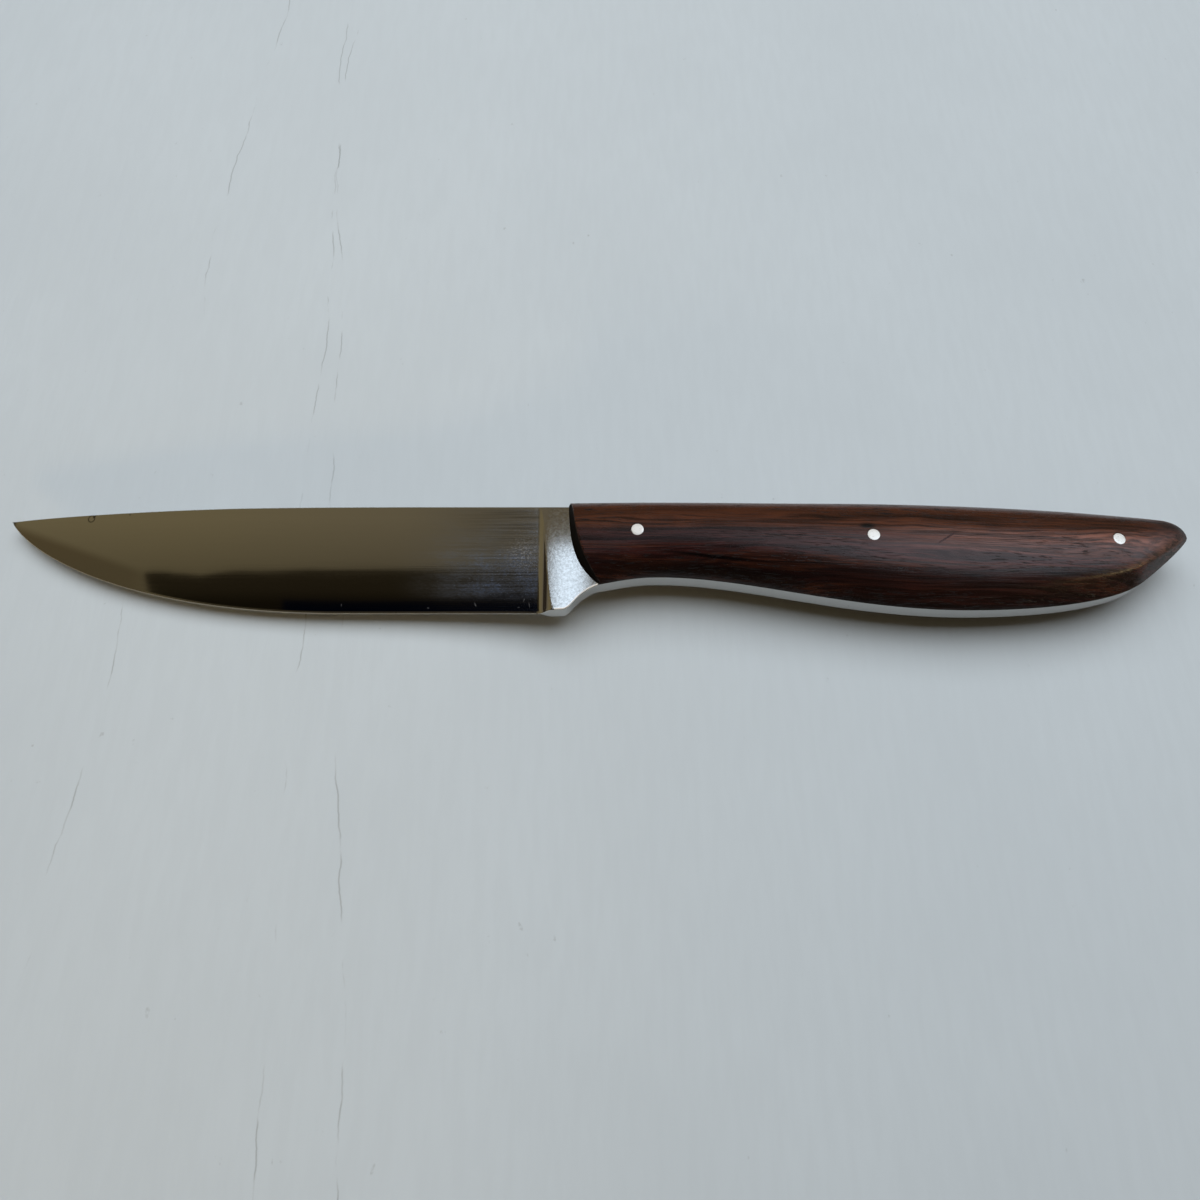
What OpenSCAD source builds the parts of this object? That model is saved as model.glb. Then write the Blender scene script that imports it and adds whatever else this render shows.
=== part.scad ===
// Steak knife lying on its side: one forged bar of steel that is blade, ricasso and
// full tang, two wooden scales, and three pins that hold the scales to the tang.
// +X runs from the tip to the butt, +Y from the cutting edge to the spine, and +Z is the
// thickness. The origin is the centre of the knife's footprint, on the surface it lies on.

/* [Overall] */
// Length from the tip to the front of the handle, along the spine
blade_l = 114.8; // [95:0.1:135]
// Length of the handle, from the front of the scales to the butt
handle_l = 125.2; // [115:0.1:140]
// Height of the blade at the heel, from the cutting edge to the spine
blade_h = 23.2; // [21:0.1:26]
// Thickness of the steel bar, at the ricasso and all along the tang
bar_t = 3.8; // [3:0.1:4.5]

/* [Blade] */
// How far the point lies below the straight line of the spine
tip_drop = 2.9; // [1.5:0.1:5]
// Length of the curved belly of the cutting edge, from the tip
belly_l = 70; // [50:1:78]
// Length of the spine that falls towards the tip
spine_fall_l = 85; // [60:1:90]
// Thickness left at the spine, just behind the tip
tip_t = 1.1; // [0.8:0.1:1.6]
// Length over which the spine thins towards the tip
taper_l = 52; // [30:1:70]
// Thickness behind the sharpened bevel
shoulder_t = 0.34; // [0.2:0.02:0.6]
// Height of the sharpened bevel
bevel_h = 0.45; // [0.3:0.05:0.9]
// Thickness of the cutting edge itself
edge_t = 0.08; // [0.04:0.01:0.14]

/* [Ricasso and choil] */
// Distance from the front of the scales forward to where the ground flat ends
ricasso_l = 6.2; // [5:0.1:10]
// Length of the plunge, in which the ground flat climbs to the face of the ricasso
plunge_l = 3.6; // [2.5:0.1:4.5]
// Distance from the front of the scales forward to where the heel starts to turn up
heel_setback = 1; // [0.5:0.1:2]
// Rise of the heel above the line of the cutting edge
heel_rise = 0.25; // [0:0.05:0.5]
// Rise of the choil, from the cutting edge to the foot of the scales
choil_rise = 5.5; // [4.5:0.1:7]

/* [Handle outline] */
// Rise of the underside of the handle at its neck, above the line of the cutting edge
neck_rise = 7.1; // [6:0.1:8]
// Distance from the front of the scales to the neck
neck_x = 18; // [14:0.5:24]
// Distance from the front of the scales to the lowest point of the handle's belly
belly_x = 79; // [70:1:88]
// Distance from the front of the scales to where the top line starts to fall
top_fall_x = 52; // [40:1:65]
// How far the top line of the handle settles below the spine of the blade by there
top_dip = 0.35; // [0:0.05:0.8]
// Height of the butt's point above the line of the cutting edge
butt_rise = 15.7; // [13:0.1:18]
// Length of the slanting cut under the butt
butt_cut_l = 11.4; // [9:0.1:13]
// Height of the slanting cut under the butt
butt_cut_h = 9.8; // [8:0.1:12]

/* [Scales] */
// Thickness of each scale at its thickest place
scale_t = 5.6; // [4.5:0.1:7]
// Thickness of each scale at its front end
scale_front_t = 4.4; // [3.5:0.1:4.5]
// Thickness of each scale just before it rolls over at the butt
scale_butt_t = 1.2; // [0.8:0.1:2]
// How far the front of the scale sweeps back between the spine and the choil
front_sweep = 6; // [4:0.1:8]
// Lean of the scale's front face away from the blade, in degrees
front_rake = 13; // [0:1:20]
// Lean of the scale's front face towards the spine, in degrees
front_tilt = 9; // [0:1:15]
// Distance that the oval of the dome is centred below the tang's face on the belly side
belly_dip = 4; // [2:0.5:6]
// Length of the sharp facet worked along the belly side at the butt
facet_l = 38; // [25:1:50]

/* [Pins] */
// Diameter of the pins
pin_d = 2.4; // [2:0.1:3.2]
// Clearance on the radius of a pin in its hole
pin_clearance = 0.02; // [0.01:0.01:0.05]
// Distance from the front of the scales to the front pin
front_pin_x = 13.8; // [10:0.1:20]
// Distance from the front of the scales to the middle pin
middle_pin_x = 60.1; // [50:0.1:70]
// Distance from the butt forward to the rear pin
rear_pin_back = 16.5; // [14:0.1:22]
// Height of the front pin above the line of the cutting edge
front_pin_y = 15.3; // [13:0.1:17]
// Height of the middle pin above the line of the cutting edge
middle_pin_y = 13.8; // [10:0.1:17]
// Height of the rear pin above the line of the cutting edge
rear_pin_y = 13.4; // [11:0.1:16]

/* [Hidden] */

// How far a cutting shape runs past what it cuts
overrun = 1;
// Steps along one Bezier curve of an outline
curve_steps = 14;
// Sides of the pins and their holes
pin_sides = 48;

// Where the ends of the knife and the front of the scales lie along X
tip_x = -(blade_l + handle_l) / 2;
front_x = tip_x + blade_l;
butt_x = front_x + handle_l;
// Height of the middle of the steel above the surface the knife lies on
mid_z = scale_t + bar_t / 2;
// Height of the tang's face above the middle of the steel
face_z = bar_t / 2;

// Where the pins stand: along X, and above the line of the cutting edge
front_pin_at = [front_x + front_pin_x, front_pin_y];
middle_pin_at = [front_x + middle_pin_x, middle_pin_y];
rear_pin_at = [butt_x - rear_pin_back, rear_pin_y];

// The value that lies a given share of the way from a to b
function mix(a, b, share) = a + (b - a) * share;
// A smooth step from 0 to 1
function ease(u) = let (v = min(max(u, 0), 1)) v * v * (3 - 2 * v);
// A point on a cubic Bezier curve of four control points
function bezier(c, t) =
    pow(1 - t, 3) * c[0] + 3 * t * pow(1 - t, 2) * c[1]
    + 3 * pow(t, 2) * (1 - t) * c[2] + pow(t, 3) * c[3];
// The points of one curve, without its last, so that curves chain end to end
function curve(c) = [for (i = [0:curve_steps - 1]) bezier(c, i / curve_steps)];

// A solid through rings of points, one ring for each station along X
module loft(rings) {
    n = len(rings[0]);
    last = len(rings) - 1;
    polyhedron(
        points = [for (ring = rings) each ring],
        faces = concat(
            [[for (j = [0:n - 1]) j]],
            [for (i = [0:last - 1], j = [0:n - 1], side = [0, 1])
                let (a = i * n + j, b = i * n + (j + 1) % n, c = a + n, d = b + n)
                side == 0 ? [a, c, b] : [b, c, d]],
            [[for (j = [n - 1:-1:0]) last * n + j]]));
}

// From heights above the cutting edge and above the middle of the steel to the knife's
// place on the surface it lies on
module place() {
    translate([0, -blade_h / 2, mid_z]) children();
}

// The outline of the steel bar. Heights are above the line of the cutting edge.

// The spine and the top of the handle, from the tip to the butt's point: the fall
// towards the tip, the settling top line, its fall towards the butt, and the round nose
spine_shares = [0.12, 0.35, 0.5];
settle_shares = [0.33, 0.67];
top_shares = [0.38, 0.74, 0.25, 0.5];
nose_shares = [0.44, 0.52, 0.19, 0.45];
tip = [tip_x, blade_h - tip_drop];
fall = [front_x + top_fall_x, blade_h - top_dip];
nose = [butt_x - butt_cut_l * nose_shares[0], mix(fall[1], butt_rise, top_shares[3])];
butt = [butt_x, butt_rise];
spine_line = concat(
    curve([
        tip,
        [tip_x + spine_fall_l * spine_shares[0], blade_h - tip_drop * spine_shares[1]],
        [tip_x + spine_fall_l * spine_shares[2], blade_h],
        [tip_x + spine_fall_l, blade_h]]),
    curve([
        [front_x, blade_h],
        [mix(front_x, fall[0], settle_shares[0]), blade_h],
        [mix(front_x, fall[0], settle_shares[1]), fall[1]],
        fall]),
    curve([
        fall,
        [mix(fall[0], nose[0], top_shares[0]), fall[1]],
        [mix(fall[0], nose[0], top_shares[1]), mix(fall[1], butt_rise, top_shares[2])],
        nose]),
    curve([
        nose,
        [mix(nose[0], butt_x, nose_shares[1]), mix(nose[1], butt_rise, nose_shares[2])],
        [butt_x, mix(nose[1], butt_rise, nose_shares[3])],
        butt]),
    [butt]);

// The cutting edge, from the tip round the belly and straight on to the heel
edge_shares = [0.06, 0.7, 0.355];
plunge_x = front_x - ricasso_l;
heel = [front_x - heel_setback, heel_rise];
edge_line = concat(
    curve([
        tip,
        [tip_x + belly_l * edge_shares[0], tip[1] * edge_shares[1]],
        [tip_x + belly_l * edge_shares[2], 0],
        [tip_x + belly_l, 0]]),
    [[tip_x + belly_l, 0], [plunge_x, 0], heel]);

// The underside of the handle: the S of the choil, the neck, the belly, and the slanting
// cut up to the butt's point
choil_shares = [0.13, 0.36, 0.41, 0.11, 0.17, 0.27, 0.12];
neck_shares = [0.19, 0.58];
swell_shares = [0.3, 0.4];
cut_shares = [0.42, 0.52, 0.44, 0.81, 0.1];
foot = [front_x + front_sweep, choil_rise];
choil = foot - heel;
choil_mid = heel + [choil[0] * choil_shares[1], choil[1] * choil_shares[2]];
choil_lean = [choil[0] * choil_shares[3], choil[1] * choil_shares[4]];
foot_slope = 2 * (neck_rise - choil_rise) / neck_x;
neck = [front_x + neck_x, neck_rise];
belly = [front_x + belly_x, 0];
cut_start = butt - [butt_cut_l, butt_cut_h];
cut_lean = [butt_cut_l, butt_cut_h * cut_shares[3]];
underside_line = concat(
    curve([
        heel,
        heel + [choil[0] * choil_shares[0], 0],
        choil_mid - choil_lean,
        choil_mid]),
    curve([
        choil_mid,
        choil_mid + choil_lean,
        foot - [choil[0] * choil_shares[5], choil[1] * choil_shares[6]],
        foot]),
    curve([
        foot,
        foot + [neck_x, neck_x * foot_slope] * neck_shares[0],
        [mix(foot[0], neck[0], neck_shares[1]), neck_rise],
        neck]),
    curve([
        neck,
        [mix(neck[0], belly[0], swell_shares[0]), neck_rise],
        [mix(belly[0], neck[0], swell_shares[1]), 0],
        belly]),
    curve([
        belly,
        [mix(belly[0], cut_start[0], cut_shares[0]), 0],
        cut_start - cut_lean * cut_shares[1],
        cut_start]),
    curve([
        cut_start,
        cut_start + cut_lean * cut_shares[2],
        butt - [0, butt_cut_h * cut_shares[4]],
        butt]));

function spine_y(x) = lookup(x, spine_line);
function edge_y(x) = lookup(x, edge_line);
function underside_y(x) = lookup(x, underside_line);

bar_outline = concat(
    spine_line,
    [for (i = [len(underside_line) - 1:-1:1]) underside_line[i]],
    [for (i = [len(edge_line) - 1:-1:1]) edge_line[i]]);

// The steel

// Half the thickness of the steel at the spine, thinned towards the tip
function half_spine(x) = mix(tip_t, bar_t, ease((x - tip_x) / taper_l)) / 2;

// The climb of the plunge: hollow at its foot, steep, then easing into the ricasso's face
plunge_shares = [0.48, 0.42, 0.78];
plunge_line = concat(
    curve([
        [0, 0],
        [plunge_l * plunge_shares[0], 0],
        [plunge_l * plunge_shares[1], face_z * plunge_shares[2]],
        [plunge_l, face_z]]),
    [[plunge_l, face_z], [plunge_l + overrun, face_z + overrun]]);

// Stations of the grinding along the belly, closer together towards the tip, and along
// the plunge
tip_steps = 24;
climb_steps = 12;
tip_crowding = 1.5;
first_x = tip_x + 2 * bevel_h;
grind_stations = concat(
    [for (i = [0:tip_steps])
        mix(first_x, tip_x + belly_l, pow(i / tip_steps, tip_crowding))],
    [for (i = [0:climb_steps]) plunge_x + (plunge_l + overrun) * i / climb_steps]);

// What grinding takes off one face: everything above a surface that rises from the
// cutting edge to the shoulder of the bevel and on to the spine, and that climbs the
// plunge to the ricasso
module ground_away() {
    top_z = face_z + 2 * overrun;
    bevel_slope = (shoulder_t - edge_t) / 2 / bevel_h;
    function ring(x, at_x) =
        let (
            low = edge_y(x),
            high = spine_y(x),
            shoulder_y = low + bevel_h,
            slope = (half_spine(x) - shoulder_t / 2) / (high - shoulder_y),
            lift = lookup(x - plunge_x, plunge_line))
        [
            [at_x, low - overrun, lift + edge_t / 2 - overrun * bevel_slope],
            [at_x, shoulder_y, lift + shoulder_t / 2],
            [at_x, high + bevel_h, lift + half_spine(x) + bevel_h * slope],
            [at_x, high + overrun, lift + top_z],
            [at_x, low - overrun, lift + top_z]];
    loft(concat(
        [ring(first_x, tip_x - overrun)],
        [for (x = grind_stations) ring(x, x)]));
}

module pin_holes() {
    for (at = [front_pin_at, middle_pin_at, rear_pin_at])
        translate([at[0], at[1], -mid_z - overrun])
            cylinder(h = 2 * (mid_z + overrun), r = pin_d / 2 + pin_clearance, $fn = pin_sides);
}

module blade_and_tang() {
    color("lightsteelblue")
    place() difference() {
        linear_extrude(bar_t, center = true) polygon(bar_outline);
        ground_away();
        mirror([0, 0, 1]) ground_away();
        pin_holes();
    }
}

// The scales

// Height of the scale's crown above the tang's face, rising from the front to its peak
// and falling to the butt
peak_share = 0.52;
rise_shares = [0.3, 0.85, 0.3];
slide_shares = [0.5, 0.88, 0.93];
peak_x = front_x + handle_l * peak_share;
crown_line = concat(
    curve([
        [front_x - overrun, scale_front_t],
        [mix(front_x, peak_x, rise_shares[0]), mix(scale_front_t, scale_t, rise_shares[1])],
        [mix(peak_x, front_x, rise_shares[2]), scale_t],
        [peak_x, scale_t]]),
    curve([
        [peak_x, scale_t],
        [mix(peak_x, butt_x, slide_shares[0]), scale_t],
        [mix(peak_x, butt_x, slide_shares[1]), mix(scale_butt_t, scale_t, slide_shares[2])],
        [butt_x, scale_butt_t]]),
    [[butt_x, scale_butt_t]]);

// The scale's own lower line: ahead of the choil's foot it runs straight on
function scale_low_y(x) = x > foot[0] ? underside_y(x) : choil_rise + (x - foot[0]) * foot_slope;

// Where the crown lies across the handle, and how square the dome is on the spine side
crown_share = 0.58;
spine_square = 2.6;
// Where the dome starts to roll over at the butt, and the share of its height that is
// left at the very end
roll_share = 0.7;
roll_end_share = 0.12;
roll_x = butt_x - scale_t * roll_share;

// The dome at one station: its lower and upper ends, the crown's place and height, and
// the dip and reach of the oval on the belly side
function dome(x) =
    let (
        low = scale_low_y(x),
        high = spine_y(x),
        roll = sqrt(max(1 - pow(max(x - roll_x, 0) / (butt_x - roll_x), 2), 0)),
        h = lookup(x, crown_line) * max(roll, roll_end_share),
        crown_y = mix(low, high, crown_share),
        dip = belly_dip * h / scale_t,
        reach = (crown_y - low) / cos(asin(dip / (h + dip))))
    [low, high, crown_y, h, dip, reach];

// How far up from the underside the facet at the butt reaches, and how much sooner than
// its full length it is sharp
facet_share = 0.2;
facet_rate = 1.6;
// Steps round a section of the dome: along the facet, up to the crown, and down to the
// spine
facet_steps = 4;
dome_steps = 6;
square_steps = 8;

// One section of the scale across the handle, from the underside over the crown to the
// spine: an oval centred below the tang's face on the belly side, a squarer quarter on
// the spine side, and towards the butt a chord that cuts the belly flat
function section(x) =
    let (
        d = dome(x), low = d[0], high = d[1], crown_y = d[2], h = d[3], dip = d[4], reach = d[5],
        start_a = asin(dip / (h + dip)),
        facet_y = mix(low, high, facet_share),
        facet_a = acos((crown_y - facet_y) / reach),
        facet_z = (h + dip) * sin(facet_a) - dip,
        sharp = ease((x - butt_x + facet_l) / facet_l * facet_rate),
        belly_side = [for (i = [0:facet_steps - 1])
            let (
                a = mix(start_a, facet_a, i / facet_steps),
                y = crown_y - reach * cos(a),
                z = (h + dip) * sin(a) - dip,
                chord_z = facet_z * (y - low) / (facet_y - low))
            [x, y, face_z + mix(z, chord_z, sharp)]],
        flank = [for (i = [0:dome_steps - 1])
            let (a = mix(facet_a, 90, i / dome_steps))
            [x, crown_y - reach * cos(a), face_z + (h + dip) * sin(a) - dip]],
        spine_side = [for (i = [0:square_steps])
            let (a = 90 * (1 - i / square_steps))
            [x, crown_y + (high - crown_y) * pow(cos(a), 2 / spine_square),
                face_z + h * pow(sin(a), 2 / spine_square)]])
    concat(belly_side, flank, spine_side);

// Stations of the scale: even ones at the front, then the points of the tang's outline,
// so that wood and steel are flush all round
front_steps = 4;
last_x = butt_x - pin_clearance;
scale_stations = concat(
    [for (i = [0:front_steps]) mix(front_x - overrun, foot[0], i / front_steps)],
    [for (p = underside_line) if (p[0] > foot[0] && p[0] < last_x) p[0]],
    [last_x]);

// The air ahead of the scale: its edge is the curved front line, leaning back with height
front_shares = [0.02, 0.46, 0.2, 0.8];
module front_cut() {
    ahead_x = front_x - 2 * scale_t;
    line = concat(
        [[front_x, blade_h + overrun]],
        curve([
            [front_x, blade_h],
            [mix(front_x, foot[0], front_shares[0]), mix(blade_h, choil_rise, front_shares[1])],
            [mix(front_x, foot[0], front_shares[2]), mix(blade_h, choil_rise, front_shares[3])],
            foot]),
        [foot, [foot[0], -overrun], [ahead_x, -overrun], [ahead_x, blade_h + overrun]]);
    translate([front_x, 0, face_z])
        rotate([-front_tilt, front_rake, 0])
            translate([-front_x, 0, -overrun])
                linear_extrude(2 * scale_t + overrun) polygon(line);
}

module scale_half() {
    difference() {
        loft([for (x = scale_stations) section(x)]);
        front_cut();
        pin_holes();
    }
}

module left_scale() {
    color("saddlebrown") place() scale_half();
}

module right_scale() {
    color("saddlebrown") place() mirror([0, 0, 1]) scale_half();
}

// The pins

// Height of the dome above the tang's face at any place on a scale
function dome_z(x, y) =
    let (
        d = dome(x), high = d[1], crown_y = d[2], h = d[3], dip = d[4], reach = d[5],
        u = (y - crown_y) / (high - crown_y))
    y < crown_y
        ? (h + dip) * sin(acos((crown_y - y) / reach)) - dip
        : h * pow(1 - pow(u, spine_square), 1 / spine_square);

// What is sanded off a pin's end: everything above the plane that touches the dome there
module above_dome(at) {
    step = pin_d / 4;
    slope_x = (dome_z(at[0] + step, at[1]) - dome_z(at[0] - step, at[1])) / (2 * step);
    slope_y = (dome_z(at[0], at[1] + step) - dome_z(at[0], at[1] - step)) / (2 * step);
    lean = atan(slope_x);
    translate([at[0], at[1], face_z + dome_z(at[0], at[1])])
        rotate([atan(slope_y * cos(lean)), -lean, 0])
            translate([-pin_d, -pin_d, 0]) cube(2 * pin_d);
}

// A pin runs through both scales and the tang, and its ends are flush with the domes
module pin(at) {
    color("silver") place() difference() {
        translate([at[0], at[1], -mid_z])
            cylinder(h = 2 * mid_z, d = pin_d, $fn = pin_sides);
        above_dome(at);
        mirror([0, 0, 1]) above_dome(at);
    }
}

module front_pin() {
    pin(front_pin_at);
}

module middle_pin() {
    pin(middle_pin_at);
}

module rear_pin() {
    pin(rear_pin_at);
}

blade_and_tang();
left_scale();
right_scale();
front_pin();
middle_pin();
rear_pin();
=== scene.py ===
"""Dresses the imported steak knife: ground steel, polished wooden scales, flush pins and a plain studio."""

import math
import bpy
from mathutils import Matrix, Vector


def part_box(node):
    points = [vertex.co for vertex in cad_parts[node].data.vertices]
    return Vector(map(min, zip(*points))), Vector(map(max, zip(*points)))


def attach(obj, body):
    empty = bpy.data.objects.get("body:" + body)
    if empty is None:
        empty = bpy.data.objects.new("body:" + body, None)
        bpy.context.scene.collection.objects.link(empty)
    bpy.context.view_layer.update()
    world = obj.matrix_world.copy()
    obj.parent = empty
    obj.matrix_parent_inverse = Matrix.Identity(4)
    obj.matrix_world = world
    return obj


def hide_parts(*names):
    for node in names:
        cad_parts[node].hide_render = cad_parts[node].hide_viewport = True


bl_info = {
    "name": "Steak Knife",
    "version": (1, 0, 0),
    "blender": (4, 5, 0),
    "location": "3D View > Sidebar > Steak Knife",
    "description": "Makes a full-tang steak knife with pinned wooden scales, and a plain studio round it",
    "category": "Add Mesh",
}

from functools import partial
from types import SimpleNamespace

import bmesh
import bpy
import numpy as np
from bpy.props import FloatProperty, FloatVectorProperty, PointerProperty
from bpy.types import Operator, Panel, PropertyGroup
from mathutils import Vector

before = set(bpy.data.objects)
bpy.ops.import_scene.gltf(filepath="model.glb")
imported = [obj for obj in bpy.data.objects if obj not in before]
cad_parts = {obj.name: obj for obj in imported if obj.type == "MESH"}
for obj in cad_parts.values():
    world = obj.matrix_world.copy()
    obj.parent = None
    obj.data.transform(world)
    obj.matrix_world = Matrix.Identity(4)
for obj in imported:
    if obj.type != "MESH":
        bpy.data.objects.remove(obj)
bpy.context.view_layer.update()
steel_low, steel_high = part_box("blade_and_tang")
scale_low, scale_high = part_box("left_scale")

MM = 0.001
ROOT = "root"


# Sizes and colours


def size(name, description, default):
    """A length that a user may change, with its default in metres."""
    return FloatProperty(
        name=name, description=description, default=default, min=0.0, unit="LENGTH", subtype="DISTANCE"
    )


def turn(name, description, degrees):
    """An angle that a user may change."""
    return FloatProperty(
        name=name, description=description, default=math.radians(degrees), unit="ROTATION", subtype="ANGLE"
    )


def tint(name, description, default):
    """A linear colour that a user may change."""
    return FloatVectorProperty(
        name=name, description=description, default=default, size=3, min=0.0, max=1.0, subtype="COLOR"
    )


class KnifeSteel(PropertyGroup):
    """Sizes and colour of the blade, the ricasso and the tang."""

    blade_length: size("Blade Length", "From the tip to the front of the scales", 114.8 * MM)
    length: size("Length", "From the tip to the butt", steel_high.x - steel_low.x)
    height: size("Blade Height", "From the edge to the spine at the heel", steel_high.y - steel_low.y)
    thickness: size("Steel Thickness", "Thickness of the bar", steel_high.z - steel_low.z)
    middle: size("Middle Height", "Middle of the steel above the floor", (steel_high.z + steel_low.z) / 2)
    tip_drop: size("Tip Drop", "How far the point lies below the spine's straight line", 2.9 * MM)
    belly_length: size("Belly Length", "Curved part of the cutting edge", 70 * MM)
    fall_length: size("Spine Fall", "Part of the spine that falls towards the tip", 85 * MM)
    tip_thickness: size("Tip Thickness", "Thickness of the spine just behind the tip", 1.1 * MM)
    taper_length: size("Taper Length", "Part of the spine that thins towards the tip", 52 * MM)
    shoulder: size("Shoulder", "Thickness behind the sharpened bevel", 0.34 * MM)
    bevel: size("Bevel Height", "Height of the sharpened bevel", 0.45 * MM)
    edge: size("Edge", "Thickness of the cutting edge itself", 0.08 * MM)
    ricasso: size("Ricasso", "From the front of the scales forward to the end of the ground flat", 6.2 * MM)
    plunge: size("Plunge", "Length in which the ground flat climbs to the ricasso", 3.6 * MM)
    heel_setback: size("Heel Setback", "From the front of the scales forward to the heel", 1.0 * MM)
    heel_rise: size("Heel Rise", "Height of the heel above the edge's line", 0.25 * MM)
    choil_rise: size("Choil Rise", "Height of the scales' foot above the edge's line", 5.5 * MM)
    broken_corner: size("Broken Corner", "Width of the flat that breaks the steel's corners", 0.20 * MM)
    joint_corner: size("Joint Corner", "Width of the same flat where steel meets wood", 0.07 * MM)
    colour: tint("Steel", "Colour of the steel", (0.63, 0.62, 0.60))


class KnifeHandle(PropertyGroup):
    """Sizes and colours of the scales and the pins."""

    neck_rise: size("Neck Rise", "Height of the neck above the edge's line", 7.1 * MM)
    neck: size("Neck", "From the front of the scales to the neck", 18 * MM)
    belly: size("Belly", "From the front of the scales to the handle's lowest point", 79 * MM)
    top_fall: size("Top Fall", "From the front of the scales to where the top line falls", 52 * MM)
    top_dip: size("Top Dip", "How far the top line settles below the spine", 0.35 * MM)
    butt_rise: size("Butt Rise", "Height of the butt's point above the edge's line", 15.7 * MM)
    cut_length: size("Cut Length", "Length of the slanting cut under the butt", 11.4 * MM)
    cut_height: size("Cut Height", "Height of the slanting cut under the butt", 9.8 * MM)
    thickness: size("Scale Thickness", "Thickness of a scale at its peak", scale_high.z - scale_low.z)
    front_thickness: size("Front Thickness", "Thickness of a scale at its front", 4.4 * MM)
    butt_thickness: size("Butt Thickness", "Thickness of a scale just before the butt", 1.2 * MM)
    sweep: size("Front Sweep", "How far the front of the scale sweeps back", 6 * MM)
    rake: turn("Front Rake", "Lean of the front face away from the blade", 13)
    tilt: turn("Front Tilt", "Lean of the front face towards the spine", 9)
    dip: size("Belly Dip", "How far the oval of the dome is centred below the tang's face", 4 * MM)
    facet: size("Facet", "Length of the facet along the belly side at the butt", 38 * MM)
    front_round: size("Front Rounding", "Width of the rounding round the front face", 0.22 * MM)
    pin: size("Pin Diameter", "Diameter of the pins", 2.4 * MM)
    pin_gap: size("Pin Gap", "Gap round a pin in the wood", 0.08 * MM)
    front_pin: size("Front Pin", "From the front of the scales to the front pin", 13.8 * MM)
    middle_pin: size("Middle Pin", "From the front of the scales to the middle pin", 60.1 * MM)
    rear_pin: size("Rear Pin", "From the butt forward to the rear pin", 16.5 * MM)
    front_pin_rise: size("Front Pin Rise", "Height of the front pin above the edge's line", 15.3 * MM)
    middle_pin_rise: size("Middle Pin Rise", "Height of the middle pin above the edge's line", 13.8 * MM)
    rear_pin_rise: size("Rear Pin Rise", "Height of the rear pin above the edge's line", 13.4 * MM)
    dark_wood: tint("Dark Wood", "The darkest streaks", (0.0048, 0.0020, 0.0019))
    red_wood: tint("Red Wood", "The wood of the belly side", (0.0175, 0.0051, 0.0040))
    plum_wood: tint("Plum Wood", "The wood along the crown", (0.0385, 0.0110, 0.0096))
    amber_wood: tint("Amber Wood", "The lighter streaks along the spine side", (0.0740, 0.0220, 0.0096))
    pin_colour: tint("Pins", "Colour of the pins", (0.93, 0.93, 0.92))


class KnifeStudio(PropertyGroup):
    """The floor, the lamps and the camera."""

    floor_colour: tint("Floor", "Colour of the floor", (0.540, 0.600, 0.655))
    backdrop_colour: tint("Backdrop", "Colour seen behind the floor", (0.500, 0.550, 0.590))
    camera_distance: size("Camera Distance", "From the camera to the point that it looks at", 179.12 * MM)
    camera_lean: turn("Camera Lean", "Lean of the camera from straight down", 23.7)


# Fixed sizes, shares and counts

CURVE_STEPS = 48  # points on each curve of an outline
CROWN_LEAD = 1 * MM  # how far before the scales the crown's line starts
CORNER_START, CORNER_FADE = 5 * MM, 2 * MM  # start and length of the narrowing of the tang's corners
BEVEL_SHARE, CORNER_SHARE = 0.4, 0.1  # the largest shares of the steel's height for the bevel and a corner
BLEND = 0.012 * MM  # width over which two faces of the steel round into each other
STEEL_HOLE_GAP = 0.02 * MM  # gap round a pin in the steel
WOOD_HOLE_SHIFT = np.array([-0.03, 0.05]) * MM  # how far a hole in the wood lies off its pin
ROLL_SHARE, LAST_ROLL = 0.7, 0.12  # the butt's roll: length over the thickness, and last share of the rise
CROWN_SHARE, FACET_SHARE = 0.58, 0.2  # how far up a scale's width the crown and the facet's border lie
FACET_HASTE = 1.6  # how early the facet turns straight
SPINE_POWER = 2.6  # power of the superellipse on the spine side
FRONT_SEARCH = (3 * MM, 6 * MM)  # how far round the front face the dome is searched
BEND_LENGTH, SLIDE_LENGTH = 22 * MM, 10 * MM  # where stations bend, and flat ones slide, behind the front
PIN_PROUD, PIN_FALL = 0.006 * MM, 0.05 * MM  # how far a pin stands out of the wood, and its rim falls off
TWIN_SHIFT = 0.31  # how far along the wood the right scale's run of grain lies

END_GAP = 0.03 * MM  # from the tip or the butt to the nearest station
CROWDING = 1.8  # power by which stations crowd at an end
DENSE_LEAD, DENSE_TRAIL = 0.8 * MM, 2 * MM  # how far dense stations pass the plunge and the foot
TANG_END, SCALE_END = 14 * MM, 12 * MM  # lengths at the butt in which stations crowd
FACET_PLACES, FLANK_PLACES, SPINE_PLACES = 12, 30, 34
DOME_PLACES = FACET_PLACES + FLANK_PLACES + SPINE_PLACES
BLOCK_REACH = 1.7  # half width of the block left out round a hole, over the hole's radius
RING_SHARES = (0.3, 0.6, 0.85, 1.0)  # where rings lie from the block's border to the hole
PIN_RING_SHARES = (0, 0.25, 0.5, 0.7, 0.84, 0.93, 0.98, 1.0)  # radii of a pin's rings over its own
SAME_POINT, SAME_CORNER = 2e-7, 1e-6  # gaps in which points are merged, before and after a row is rounded


# Outlines


def curve(points):
    """Points on a cubic Bezier curve of four control points, without the last, so that curves chain."""
    a, b, c, d = np.array(points, float)
    t = (np.arange(CURVE_STEPS) / CURVE_STEPS)[:, None]
    return (1 - t) ** 3 * a + 3 * t * (1 - t) ** 2 * b + 3 * t**2 * (1 - t) * c + t**3 * d


def mix(a, b, share):
    """The value that lies a given share of the way from a to b."""
    return a + (b - a) * share


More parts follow.
